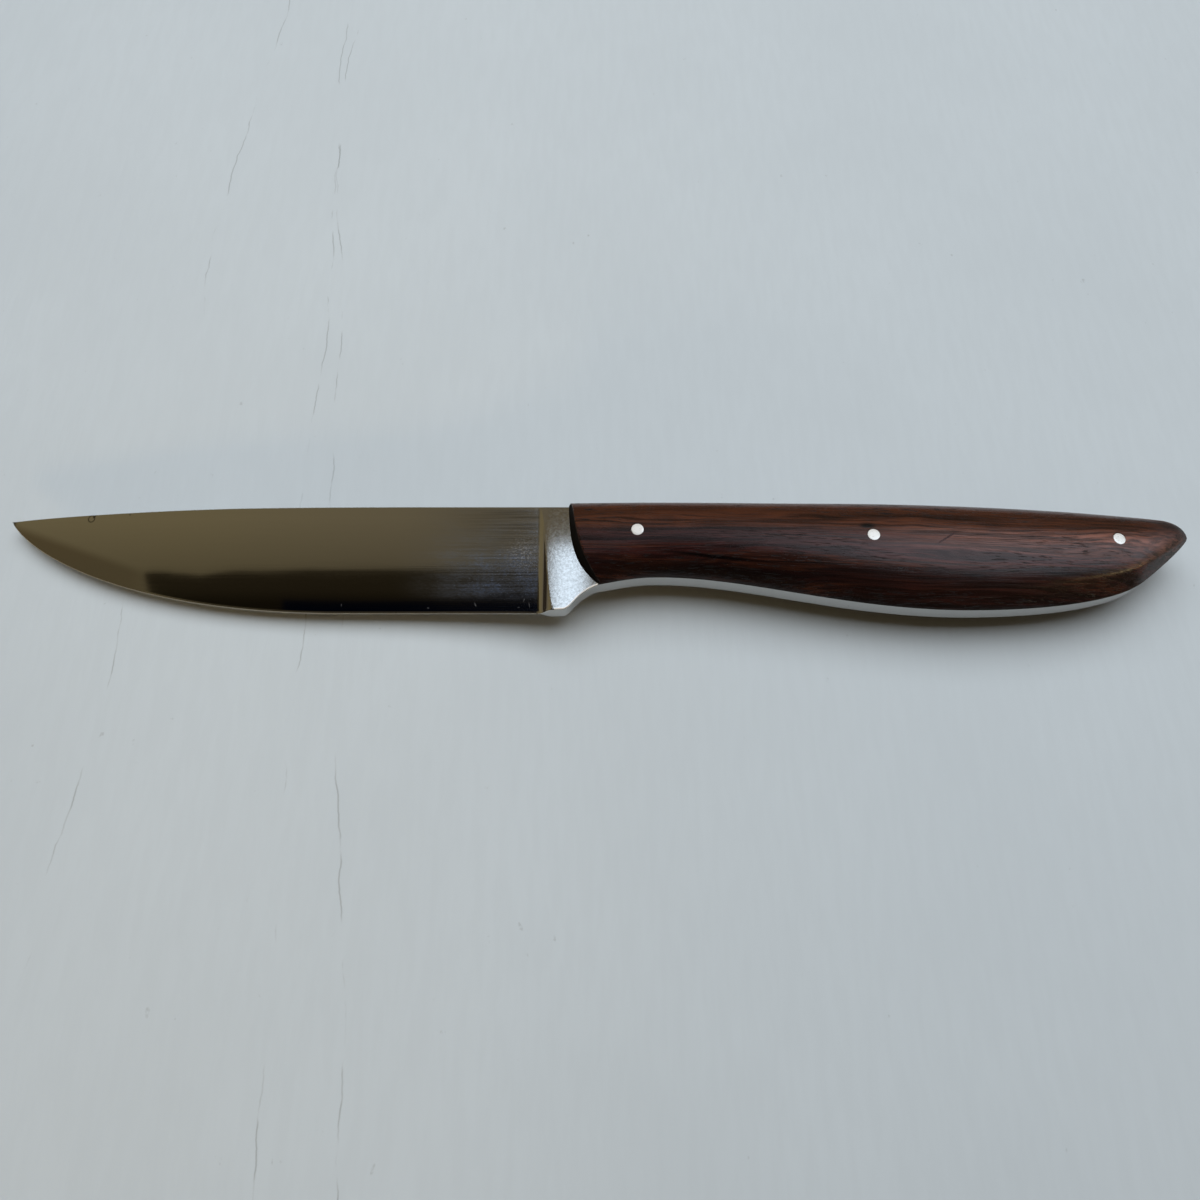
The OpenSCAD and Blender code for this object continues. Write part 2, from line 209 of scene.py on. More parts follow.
def ease(u):
    """A smooth step from 0 to 1."""
    v = np.clip(u, 0, 1)
    return v * v * (3 - 2 * v)


def outlines(steel, handle):
    """The knife's lines in its own plane, in metres: X along the knife, Y up from the line of the edge.

    They are the curves of the CAD source with more points on each.
    """
    plan = SimpleNamespace()
    plan.tip_x = tip_x = -steel.length / 2
    plan.front_x = front = tip_x + steel.blade_length
    plan.butt_x = end = steel.length / 2
    plan.plunge_x = front - steel.ricasso
    top = steel.height
    tip = np.array([tip_x, top - steel.tip_drop])
    fall = np.array([front + handle.top_fall, top - handle.top_dip])
    butt = np.array([end, handle.butt_rise])
    nose = np.array([end - handle.cut_length * 0.44, mix(fall[1], butt[1], 0.5)])
    plan.spine = np.concatenate([
        curve([tip, [tip_x + steel.fall_length * 0.12, top - steel.tip_drop * 0.35],
               [tip_x + steel.fall_length * 0.5, top], [tip_x + steel.fall_length, top]]),
        curve([[front, top], [mix(front, fall[0], 0.33), top], [mix(front, fall[0], 0.67), fall[1]], fall]),
        curve([fall, [mix(fall[0], nose[0], 0.38), fall[1]],
               [mix(fall[0], nose[0], 0.74), mix(fall[1], butt[1], 0.25)], nose]),
        curve([nose, [mix(nose[0], end, 0.52), mix(nose[1], butt[1], 0.19)],
               [end, mix(nose[1], butt[1], 0.45)], butt]),
        [butt],
    ])
    heel = np.array([front - steel.heel_setback, steel.heel_rise])
    plan.foot = foot = np.array([front + handle.sweep, steel.choil_rise])
    plan.foot_slope = 2 * (handle.neck_rise - steel.choil_rise) / handle.neck
    choil = foot - heel
    choil_mid = heel + choil * [0.36, 0.41]
    choil_lean = choil * [0.11, 0.17]
    neck = np.array([front + handle.neck, handle.neck_rise])
    belly = np.array([front + handle.belly, 0.0])
    cut = butt - [handle.cut_length, handle.cut_height]
    cut_lean = np.array([handle.cut_length, handle.cut_height * 0.81])
    plan.underside = np.concatenate([
        curve([heel, heel + [choil[0] * 0.13, 0], choil_mid - choil_lean, choil_mid]),
        curve([choil_mid, choil_mid + choil_lean, foot - choil * [0.27, 0.12], foot]),
        curve([foot, foot + np.array([1, plan.foot_slope]) * handle.neck * 0.19,
               [mix(foot[0], neck[0], 0.58), neck[1]], neck]),
        curve([neck, [mix(neck[0], belly[0], 0.3), neck[1]], [mix(belly[0], neck[0], 0.4), 0], belly]),
        curve([belly, [mix(belly[0], cut[0], 0.42), 0], cut - cut_lean * 0.52, cut]),
        curve([cut, cut + cut_lean * 0.44, butt - [0, handle.cut_height * 0.1], butt]),
        [butt],
    ])
    belly_end = [tip_x + steel.belly_length, 0]
    plan.edge = np.concatenate([
        curve([tip, [tip_x + steel.belly_length * 0.06, tip[1] * 0.7],
               [tip_x + steel.belly_length * 0.355, 0], belly_end]),
        [belly_end, [plan.plunge_x, 0]],
        plan.underside,
    ])
    face, length = steel.thickness / 2, steel.plunge
    climb = curve([[0, 0], [length * 0.48, 0], [length * 0.42, face * 0.78], [length, face]])
    plan.climb = np.concatenate([climb, [[length, face], [length + face, 2 * face]]])
    peak = mix(front, end, 0.52)
    at_peak, at_front, at_butt = handle.thickness, handle.front_thickness, handle.butt_thickness
    plan.crown = np.concatenate([
        curve([[front - CROWN_LEAD, at_front], [mix(front, peak, 0.3), mix(at_front, at_peak, 0.85)],
               [mix(peak, front, 0.3), at_peak], [peak, at_peak]]),
        curve([[peak, at_peak], [mix(peak, end, 0.5), at_peak],
               [mix(peak, end, 0.88), mix(at_butt, at_peak, 0.93)], [end, at_butt]]),
        [[end, at_butt]],
    ])
    pin_rises = (handle.front_pin_rise, handle.middle_pin_rise, handle.rear_pin_rise)
    pin_places = (front + handle.front_pin, front + handle.middle_pin, end - handle.rear_pin)
    plan.pins = np.stack([pin_places, pin_rises], 1)
    return plan


def along(line, x):
    """Height of an outline at each x, read off its points."""
    return np.interp(x, line[:, 0], line[:, 1])


# Surfaces


def grid_quads(ids):
    """The quads of a grid of point numbers, where x rises along the first index and y along the second.

    They run anticlockwise as seen from above.
    """
    return np.stack([ids[:-1, :-1], ids[1:, :-1], ids[1:, 1:], ids[:-1, 1:]], -1)


def merge_close(bm, gap, shortest):
    """Merges points that lie within a gap, and dissolves edges shorter than the shortest one allowed."""
    bmesh.ops.remove_doubles(bm, verts=bm.verts, dist=gap)
    bmesh.ops.dissolve_degenerate(bm, edges=bm.edges, dist=shortest)


class Surface:
    """Points and quads that are gathered from whole arrays and put into one mesh."""

    def __init__(self):
        self.points, self.quads, self.count = [], [], 0

    def add_points(self, points):
        """Adds an array of points of any shape, and gives their numbers in the same shape."""
        flat = points.reshape(-1, 3)
        ids = np.arange(self.count, self.count + len(flat)).reshape(points.shape[:-1])
        self.points.append(flat)
        self.count += len(flat)
        return ids

    def add_quads(self, quads, flip=False):
        """Adds quads, turned round if flip is set."""
        flat = quads.reshape(-1, 4)
        self.quads.append(flat[:, ::-1] if flip else flat)

    def add_walls(self, pairs):
        """Adds the quads between the two rows of point numbers of each pair."""
        for near, far in pairs:
            self.add_quads(np.stack([near[:-1], near[1:], far[1:], far[:-1]], -1))

    def add_sheet(self, points, height, drills, flip=False):
        """Adds a grid of points as a sheet with round holes, and gives its point numbers and the rims.

        Round each hole a block of the grid is left out. Rings lead from the block's border to the hole: each
        point lies on the straight line from a border point to the circle, and takes its z from height(x, y).
        """
        ids = self.add_points(points)
        keep = np.ones((points.shape[0] - 1, points.shape[1] - 1), bool)
        rims = []
        for centre, radius in drills:
            x, y = points[..., 0] - centre[0], points[..., 1] - centre[1]
            reach = BLOCK_REACH * radius
            i, j = np.nonzero((np.abs(x) < reach) & (np.abs(y) < reach))
            i0, i1, j0, j1 = i.min() - 1, i.max() + 1, j.min() - 1, j.max() + 1
            keep[i0:i1, j0:j1] = False
            border = np.concatenate([ids[i0:i1, j0], ids[i1, j0:j1], ids[i1:i0:-1, j1], ids[i0, j1:j0:-1]])
            flat = points.reshape(-1, 3)[border - ids.flat[0]]
            out = flat[:, :2] - centre
            angle = np.unwrap(np.arctan2(out[:, 1], out[:, 0]))
            even = angle[0] + np.arange(len(angle)) * 2 * np.pi / len(angle)
            angle = mix(angle, even, 0.5)
            rim = centre + radius * np.stack([np.cos(angle), np.sin(angle)], 1)
            shares = np.array(RING_SHARES)[:, None, None]
            xy = mix(flat[None, :, :2], rim[None], shares)
            rings = self.add_points(np.concatenate([xy, height(xy[..., 0], xy[..., 1])[..., None]], -1))
            rings = np.concatenate([border[None], rings])
            closed = np.concatenate([rings, rings[:, :1]], 1)
            self.add_quads(grid_quads(closed), not flip)
            rims.append(closed[-1])
        self.add_quads(grid_quads(ids)[keep], flip)
        return ids, rims

    def flags(self, ids):
        """One number for each point so far, 1 at the given ones and 0 elsewhere."""
        values = np.zeros(self.count)
        values[ids.ravel()] = 1
        return values

    def settle(self, steel, lift=0.0, side=1):
        """Moves the points from the outlines' plane into the frame, lifted on one side of the steel."""
        for part in self.points:
            part += [0, -steel.height / 2, lift]
            part[:, 2] = part[:, 2] * side + steel.middle
        if side < 0:
            self.quads = [quads[:, ::-1] for quads in self.quads]

    def to_object(self, name, sharp_degrees, rounded=None, rounding=0.0, attributes=None):
        """Puts the surface into a mesh object: doubles merged, one row rounded, smooth up to an angle."""
        quads, points = np.concatenate(self.quads), np.concatenate(self.points)
        mesh = bpy.data.meshes.new(name)
        mesh.vertices.add(len(points))
        mesh.vertices.foreach_set("co", points.astype(np.float32).ravel())
        mesh.loops.add(quads.size)
        mesh.loops.foreach_set("vertex_index", quads.astype(np.int32).ravel())
        mesh.polygons.add(len(quads))
        mesh.polygons.foreach_set("loop_start", np.arange(0, quads.size, 4, dtype=np.int32))
        mesh.update(calc_edges=True)
        flags = dict(attributes or {})
        if rounded is not None:
            flags["rounded"] = self.flags(rounded)
        for key, values in flags.items():
            mesh.attributes.new(key, "FLOAT", "POINT").data.foreach_set("value", values.astype(np.float32))
        bm = bmesh.new()
        bm.from_mesh(mesh)
        merge_close(bm, SAME_POINT, SAME_POINT / 2)
        if rounded is not None:
            layer = bm.verts.layers.float["rounded"]
            edges = [e for e in bm.edges if e.verts[0][layer] > 0.5 and e.verts[1][layer] > 0.5]
            bmesh.ops.bevel(bm, geom=edges, offset=rounding, segments=3, profile=0.5, affect="EDGES")
            merge_close(bm, SAME_CORNER, SAME_CORNER)
        bm.to_mesh(mesh)
        bm.free()
        if rounded is not None:
            mesh.attributes.remove(mesh.attributes["rounded"])
        mesh.polygons.foreach_set("use_smooth", np.ones(len(mesh.polygons), bool))
        mesh.set_sharp_from_angle(angle=math.radians(sharp_degrees))
        mesh.update()
        made = bpy.data.objects.new(name, mesh)
        bpy.context.scene.collection.objects.link(made)
        return made


def crowded(end, length, count):
    """Stations that crowd at an end: their distances from it are even shares raised to a power."""
    return end + length * np.linspace(0, 1, count) ** CROWDING


def soft_min(a, b):
    """The smaller of two values, rounded where they cross."""
    return np.minimum(a, b) - BLEND * np.log1p(np.exp(-np.abs(a - b) / BLEND))


def corner_width(steel, plan, x):
    """Width of the broken corners, smaller where the wood covers the steel's faces."""
    under_wood = ease((x - plan.front_x - CORNER_START) / CORNER_FADE)
    return mix(steel.broken_corner, steel.joint_corner, under_wood)


def steel_height(steel, plan, side, x, y):
    """Height of the steel's face over its mid-plane, on one side of it.

    It is the smallest of the bar's half thickness, the ground surface, and planes that break the corners.
    The ground surface rises in a straight line from the edge to the bevel's shoulder and in another to the
    spine, whose half thickness falls towards the tip along a smooth step, and the plunge lifts it.
    """
    low, high = along(plan.edge, x), along(plan.spine, x)
    face = steel.thickness / 2
    at_spine = mix(steel.tip_thickness, steel.thickness, ease((x - plan.tip_x) / steel.taper_length)) / 2
    bevel = np.minimum(steel.bevel, (high - low) * BEVEL_SHARE)
    up = y - low
    on_bevel = mix(steel.edge / 2, steel.shoulder / 2, up / bevel)
    on_flat = mix(steel.shoulder / 2, at_spine, (up - bevel) / (high - low - bevel))
    lift = np.interp(x - plan.plunge_x, plan.climb[:, 0], plan.climb[:, 1], left=0.0, right=2 * face)
    ground = lift + np.where(up < bevel, on_bevel, on_flat)
    corner = corner_width(steel, plan, x)
    z = np.minimum(soft_min(ground, face), face - corner + up)
    return side * np.minimum(z, soft_min(lift + at_spine, face) - corner + (high - y))


def steel_surface(steel, handle, plan):
    """The steel as two mirrored sheets over the same places, joined by walls round their outline.

    Stations along X are crowded at the tip, through the plunge and the choil, and at the butt. At each,
    places across run from the edge over the bevel to the spine, with one at each broken corner.
    """
    belly_end, before_plunge = plan.tip_x + steel.belly_length, plan.plunge_x - DENSE_LEAD
    behind_foot, before_butt = plan.foot[0] + DENSE_TRAIL, plan.butt_x - TANG_END
    x = np.unique(np.concatenate([
        crowded(plan.tip_x + END_GAP, steel.belly_length, 90),
        np.linspace(belly_end, before_plunge, 40),
        np.linspace(before_plunge, behind_foot, 190),
        np.linspace(behind_foot, before_butt, 230),
        crowded(plan.butt_x - END_GAP, -TANG_END, 90),
    ]).round(8))
    low, high = along(plan.edge, x), along(plan.spine, x)
    tall = high - low
    corner = np.minimum(corner_width(steel, plan, x), tall * CORNER_SHARE)
    bevel = np.minimum(steel.bevel, tall * BEVEL_SHARE)
    rest = np.linspace(0, 1, 40)[None, 1:] * (tall - bevel - corner)[:, None] + bevel[:, None]
    up = np.concatenate([np.stack([0 * tall, corner / 2, corner, bevel], 1), rest, tall[:, None]], 1)
    y = low[:, None] + up
    xs = np.broadcast_to(x[:, None], y.shape)
    surface = Surface()
    drills = [(centre, handle.pin / 2 + STEEL_HOLE_GAP) for centre in plan.pins]
    sheets = []
    for side in (1, -1):
        height = partial(steel_height, steel, plan, side)
        sheet = np.stack([xs, y, height(xs, y)], -1)
        sheets.append(surface.add_sheet(sheet, height, drills, flip=side < 0))
    (top, top_rims), (bottom, bottom_rims) = sheets
    surface.add_walls([(bottom[:, 0], top[:, 0]), (top[:, -1], bottom[:, -1]), (top[0], bottom[0])])
    surface.add_walls([(bottom[-1], top[-1]), *zip(top_rims, bottom_rims)])
    blade, choil = x < plan.plunge_x, (x > plan.plunge_x + steel.plunge) & (x < plan.foot[0])
    bevel_ids = np.stack([top[blade, :2], bottom[blade, :2]])
    # The choil's broken corners are flagged for a painted highlight
    highlight_corner_ids = np.stack([top[choil, 1:3], bottom[choil, 1:3]])
    surface.settle(steel)
    return surface, {"bevel": surface.flags(bevel_ids), "painted_corner_highlight": surface.flags(highlight_corner_ids)}


def dome(handle, plan, x):
    """A scale's section at each x: its ends, crown and rise, and the dip, reach and start of the oval.

    The rise follows the crown's line and rolls over at the butt on a quarter circle.
    """
    at = SimpleNamespace()
    foot_line = plan.foot[1] + (x - plan.foot[0]) * plan.foot_slope
    at.low = np.where(x > plan.foot[0], along(plan.underside, x), foot_line)
    at.high = along(plan.spine, x)
    roll_x = plan.butt_x - handle.thickness * ROLL_SHARE
    roll = np.sqrt(np.clip(1 - (np.maximum(x - roll_x, 0) / (plan.butt_x - roll_x)) ** 2, 0, 1))
    at.rise = along(plan.crown, x) * np.maximum(roll, LAST_ROLL)
    at.crown_y = mix(at.low, at.high, CROWN_SHARE)
    at.dip = handle.dip * at.rise / handle.thickness
    at.start = np.arcsin(at.dip / (at.rise + at.dip))
    at.reach = (at.crown_y - at.low) / np.cos(at.start)
    return at


def dome_height(handle, plan, x, y):
    """Height of the dome over the tang's face: an oval to the belly, a superellipse to the spine."""
    at = dome(handle, plan, x)
    back = (at.crown_y - y) / at.reach
    oval = (at.rise + at.dip) * np.sqrt(np.clip(1 - back**2, 0, 1)) - at.dip
    onward = np.clip((y - at.crown_y) / (at.high - at.crown_y), 0, 1)
    return np.where(y < at.crown_y, oval, at.rise * (1 - onward**SPINE_POWER) ** (1 / SPINE_POWER))


def on_oval(at, angle):
    """The place across and the height on the belly side's oval, at an angle up from its level axis."""
    height = (at.rise + at.dip) * np.sin(angle) - at.dip
    return at.crown_y - at.reach * np.cos(angle), height


def dome_points(handle, plan, x):
    """Points of the dome for stations by places: up the facet, up the flank, and down to the spine.

    The belly side is an oval centred below the tang's face. Towards the butt its facet turns into a straight
    chord. The spine side is a superellipse.
    """
    facet_n, flank_n = FACET_PLACES, FLANK_PLACES
    at_facet, at_flank, at_spine = np.split(x, [facet_n, facet_n + flank_n], 1)
    at = dome(handle, plan, at_facet)
    facet_y = mix(at.low, at.high, FACET_SHARE)
    facet_angle = np.arccos((at.crown_y - facet_y) / at.reach)
    y1, oval = on_oval(at, mix(at.start, facet_angle, np.arange(facet_n) / facet_n))
    chord = on_oval(at, facet_angle)[1] * (y1 - at.low) / (facet_y - at.low)
    straight = ease((at_facet - plan.butt_x + handle.facet) / handle.facet * FACET_HASTE)
    z1 = mix(oval, chord, straight)
    at = dome(handle, plan, at_flank)
    facet_y = mix(at.low, at.high, FACET_SHARE)
    facet_angle = np.arccos((at.crown_y - facet_y) / at.reach)
    y2, z2 = on_oval(at, mix(facet_angle, np.pi / 2, np.arange(flank_n) / flank_n))
    at = dome(handle, plan, at_spine)
    angle = np.linspace(np.pi / 2, 0, at_spine.shape[1])
    y3 = at.crown_y + (at.high - at.crown_y) * np.clip(np.cos(angle), 0, 1) ** (2 / SPINE_POWER)
    z3 = at.rise * np.clip(np.sin(angle), 0, 1) ** (2 / SPINE_POWER)
    return np.stack([x, np.concatenate([y1, y2, y3], 1), np.concatenate([z1, z2, z3], 1)], -1)


def front_lean(handle):
    """The turn of the front face: first about X by the tilt towards the spine, then about Y by the rake."""
    ct, st = math.cos(-handle.tilt), math.sin(-handle.tilt)
    cr, sr = math.cos(handle.rake), math.sin(handle.rake)
    about_x = np.array([[1, 0, 0], [0, ct, -st], [0, st, ct]])
    about_y = np.array([[cr, 0, sr], [0, 1, 0], [-sr, 0, cr]])
    return about_y @ about_x


def front_stations(steel, handle, plan):
    """For each place across the dome, the x at which it meets the front face, by halving an interval."""
    top, foot = np.array([plan.front_x, steel.height]), plan.foot
    line = curve([top, mix(top, foot, [0.02, 0.46]), mix(top, foot, [0.2, 0.8]), foot])
    line = np.concatenate([line, [foot]])[::-1]
    turned = front_lean(handle)
    low = np.full(DOME_PLACES, top[0] - FRONT_SEARCH[0])
    high = np.full(DOME_PLACES, foot[0] + FRONT_SEARCH[1])
    for _ in range(40):
        x = (low + high) / 2
        local = (dome_points(handle, plan, x[None])[0] - [top[0], 0, 0]) @ turned
        behind = local[:, 0] + top[0] > np.interp(local[:, 1], line[:, 1], line[:, 0])
        high, low = np.where(behind, x, high), np.where(behind, low, x)
    return (low + high) / 2


def fading(lines, start, length):
    """A share that falls from 1 at the start to 0 over a length, as the square of what is left of it."""
    return np.clip(1 - (lines - start) / length, 0, 1)[:, None] ** 2


def scale_surface(steel, handle, plan, side):
    """A scale: the dome, a flat sheet below it, the leaning front face, walls, and pin holes.

    Stations are straight lines across, except near the front, where they bend to follow the front face.
    """
    front_x = plan.front_x
    body = np.linspace(front_x, plan.butt_x - SCALE_END, 300)
    butt = crowded(plan.butt_x - END_GAP, END_GAP - SCALE_END, 70)
    lines = np.unique(np.concatenate([body, butt]).round(8))
    bend = fading(lines, front_x, BEND_LENGTH)
    at_front = front_stations(steel, handle, plan)
    top_points = dome_points(handle, plan, lines[:, None] + (at_front - front_x) * bend)
    lean = front_lean(handle)[:, 2]
    crest = top_points[0]
    base = crest - lean * (crest[:, 2] / lean[2])[:, None]
    front = mix(crest[None], base[None], np.linspace(0, 1, 7)[:, None, None])
    flat_points = dome_points(handle, plan, lines[:, None] + (base[:, 0] - front_x) * bend)
    flat_points[..., 1] += (base[:, 1] - flat_points[0, :, 1]) * fading(lines, front_x, SLIDE_LENGTH)
    flat_points[..., 2] = 0
    surface = Surface()
    drills = [(centre + WOOD_HOLE_SHIFT, handle.pin / 2 + handle.pin_gap) for centre in plan.pins]
    top, top_rims = surface.add_sheet(top_points, partial(dome_height, handle, plan), drills)
    flat, flat_rims = surface.add_sheet(flat_points, lambda x, y: 0 * x, drills, flip=True)
    surface.add_walls(zip(top_rims, flat_rims))
    face = surface.add_points(front)
    surface.add_quads(grid_quads(face), flip=True)
    surface.add_walls([(flat[:, 0], top[:, 0]), (top[:, -1], flat[:, -1]), (flat[-1], top[-1])])
    # The front face below the crest is marked as end grain, which is painted nearly black, partly as painted
    # shade
    below_crest = np.concatenate([face[1:].ravel(), flat[0]])
    # The rows along the steel are marked for a dark joint, darkened partly as painted shade
    sides = np.stack([top[:, 0], flat[:, 0], top[:, -1], flat[:, -1]])
    marks = {"end_grain_shade": surface.flags(below_crest), "joint_and_shade": surface.flags(sides)}
    surface.settle(steel, steel.thickness / 2, side)
    return surface, top[0], marks


def pin_surface(steel, handle, plan, centre):
    """A pin as rings round its axis, from the middle of one end over its rims to the middle of the other.

    Each end follows the wood's dome, stands a little proud of it and falls off at the rim with the eighth
    power of the radius.
    """
    shares = np.array(PIN_RING_SHARES)[:, None]
    around = np.linspace(0, 2 * np.pi, 65)[None]
    radius = shares * handle.pin / 2
    x, y = centre[0] + radius * np.cos(around), centre[1] + radius * np.sin(around)
    z = steel.thickness / 2 + dome_height(handle, plan, x, y) + PIN_PROUD - PIN_FALL * shares**8
    upper = np.stack([x, y, z], -1)
    lower = upper * [1, 1, -1]
    surface = Surface()
    surface.add_quads(grid_quads(surface.add_points(np.concatenate([upper, lower[::-1]]))))
    surface.settle(steel)
    return surface


# Materials


# The shared grain's settings: stretch along X, Y and Z, the noise at which it gives 0 and 1, and detail
GRAINS = {
    "steel streaks": ((50, 4200, 0), 0.30, 0.70, 5.0),
    "steel brushing": ((48, 2600, 0), 0.36, 0.64, 4.0),
    "steel clouds": ((160, 190, 0), 0.35, 0.65, 4.0),
    "steel satin": ((2600, 2600, 0), 0.30, 0.70, 4.0),
    "blotches": ((1150, 1250, 0), 0.38, 0.64, 5.0),
    "frost": ((2300, 2700, 0), 0.46, 0.66, 4.0),
    "steel haze": ((26, 620, 0), 0.30, 0.72, 4.0),
    "fine haze": ((1700, 2200, 0), 0.40, 0.62, 3.0),
    "wood wander": ((17, 120, 90), 0.20, 0.80, 3.0),
    "wood streaks": ((24, 620, 420), 0.33, 0.67, 5.0),
    "wood lines": ((50, 2100, 1400), 0.38, 0.62, 5.0),
    "wood fibre": ((170, 4300, 2700), 0.36, 0.64, 3.0),
    "pores": ((330, 4300, 3000), 0.585, 0.65, 2.0),
    "pore fields": ((26, 220, 200), 0.40, 0.56, 2.0),
    "joint gaps": ((1500, 0, 0), 0.35, 0.60, 3.0),
    "pin scratches": ((1500, 3000, 0), 0.30, 0.70, 3.0),
    "pin specks": ((2600, 2600, 0), 0.58, 0.72, 2.0),
    "paint clouds": ((18, 18, 18), 0.30, 0.70, 4.0),
    "brush marks": ((500, 90, 100), 0.30, 0.70, 3.0),
    "paint specks": ((420, 330, 400), 0.72, 0.80, 3.0),
    "crack wander": ((12, 26, 20), 0.20, 0.80, 6.0),
    "crack breaks": ((60, 55, 60), 0.47, 0.58, 4.0),
}

# Colours of single effects, with their alpha
# The first is a painted darker reflection for the sweep at the tip; the next two paint the haze's reflection
# of a bluish sky.
SWEEP_REFLECTION_TONE, SKY_REFLECTION_GREY, SKY_REFLECTION_BLUE = (0.36, 0.32, 0.28, 1), (0.31, 0.36, 0.47, 1), (0.22, 0.37, 0.74, 1)
FROSTED, STAINED, SCRATCHED = (0.62, 0.64, 0.68, 1), (0.05, 0.04, 0.03, 1), (0.024, 0.0028, 0.0020, 1)
PALE_ROSE, PALE_AMBER = (0.150, 0.068, 0.055, 1), (0.270, 0.115, 0.085, 1)
WHITE, BLACK = (1, 1, 1, 1), (0, 0, 0, 1)

# Marks: centre and half size in mm in the knife's frame, then the turn in radians
RING = (-103.5, 9.3), (0.85, 0.95), 0.0
RING_INSIDE = (-103.5, 9.3), (0.60, 0.70), 0.0
DOT = (-95.6, 10.1), (0.28, 0.22), 0.0
SPECK = (-103.0, 9.8), (0.34, 0.60), 0.4
FROST = (-14.2, 1.4), (5.6, 5.4), 0.0
NICKS = (
    ((-23.5, -9.7), (0.20, 0.65), -0.45),
    ((-32.8, -10.4), (0.30, 0.22), 0.0),
    ((-50.0, -9.8), (0.16, 0.40), 0.0),
    ((-13.9, -8.8), (0.12, 0.60), 0.25),
    ((-12.8, -9.8), (0.12, 0.80), -0.15),
    ((-14.9, -10.3), (0.35, 0.14), 0.0),
)
SCRATCH = (69.0, 1.4), (3.8, 0.28), -0.56

# Dark streaks and the knot of the left scale, each with its depth of tone
DARK_STREAKS = (
    (((24.5, -1.8), (15.0, 0.52), 0.12), 1.1),
    (((21.0, -3.7), (34.0, 2.00), 0.05), 0.60),
    (((41.0, -3.2), (14.0, 0.26), 0.06), 0.8),
    (((73.8, -6.0), (4.2, 0.35), 0.03), 0.8),
    (((90.5, -5.5), (6.0, 0.40), 0.06), 0.6),
    (((53.9, 4.2), (2.3, 0.85), 0.0), 1.2),
    (((47.0, 5.6), (6.0, 0.22), 0.02), 0.6),
    (((38.5, 5.4), (16.0, 0.70), 0.0), 0.45),
)

# Cracks of the board: x at the knife's middle line in mm, and how far each leans
CRACKS = (-60.0, -0.05), (-53.0, -0.11), (-95.0, 0.03)


class Value:
    """A value in a node tree. Sums, differences and products of values are written as for plain numbers."""

    def __init__(self, tree, socket):
        """Keeps the tree and the node's output that the value comes from."""
        self.tree, self.socket = tree, socket

    def __add__(self, other):
        """This value plus another value or a number."""
        return self.tree.math("ADD", self, other)

    def __sub__(self, other):
        """This value minus another value or a number."""
        return self.tree.math("SUBTRACT", self, other)

    def __rsub__(self, other):
        """A number minus this value."""
        return self.tree.math("SUBTRACT", other, self)

    def __mul__(self, other):
        """This value times another value or a number."""
        return self.tree.math("MULTIPLY", self, other)

    def __abs__(self):
        """This value without its sign."""
        return self.tree.math("ABSOLUTE", self)

    def ramp(self, low, high, to_low=0.0, to_high=1.0, kind="SMOOTHSTEP"):
        """The value mapped from one range to another and held at the ends."""
        inputs = {0: self, 1: low, 2: high, 3: to_low, 4: to_high}
        return self.tree.value("ShaderNodeMapRange", inputs, interpolation_type=kind)


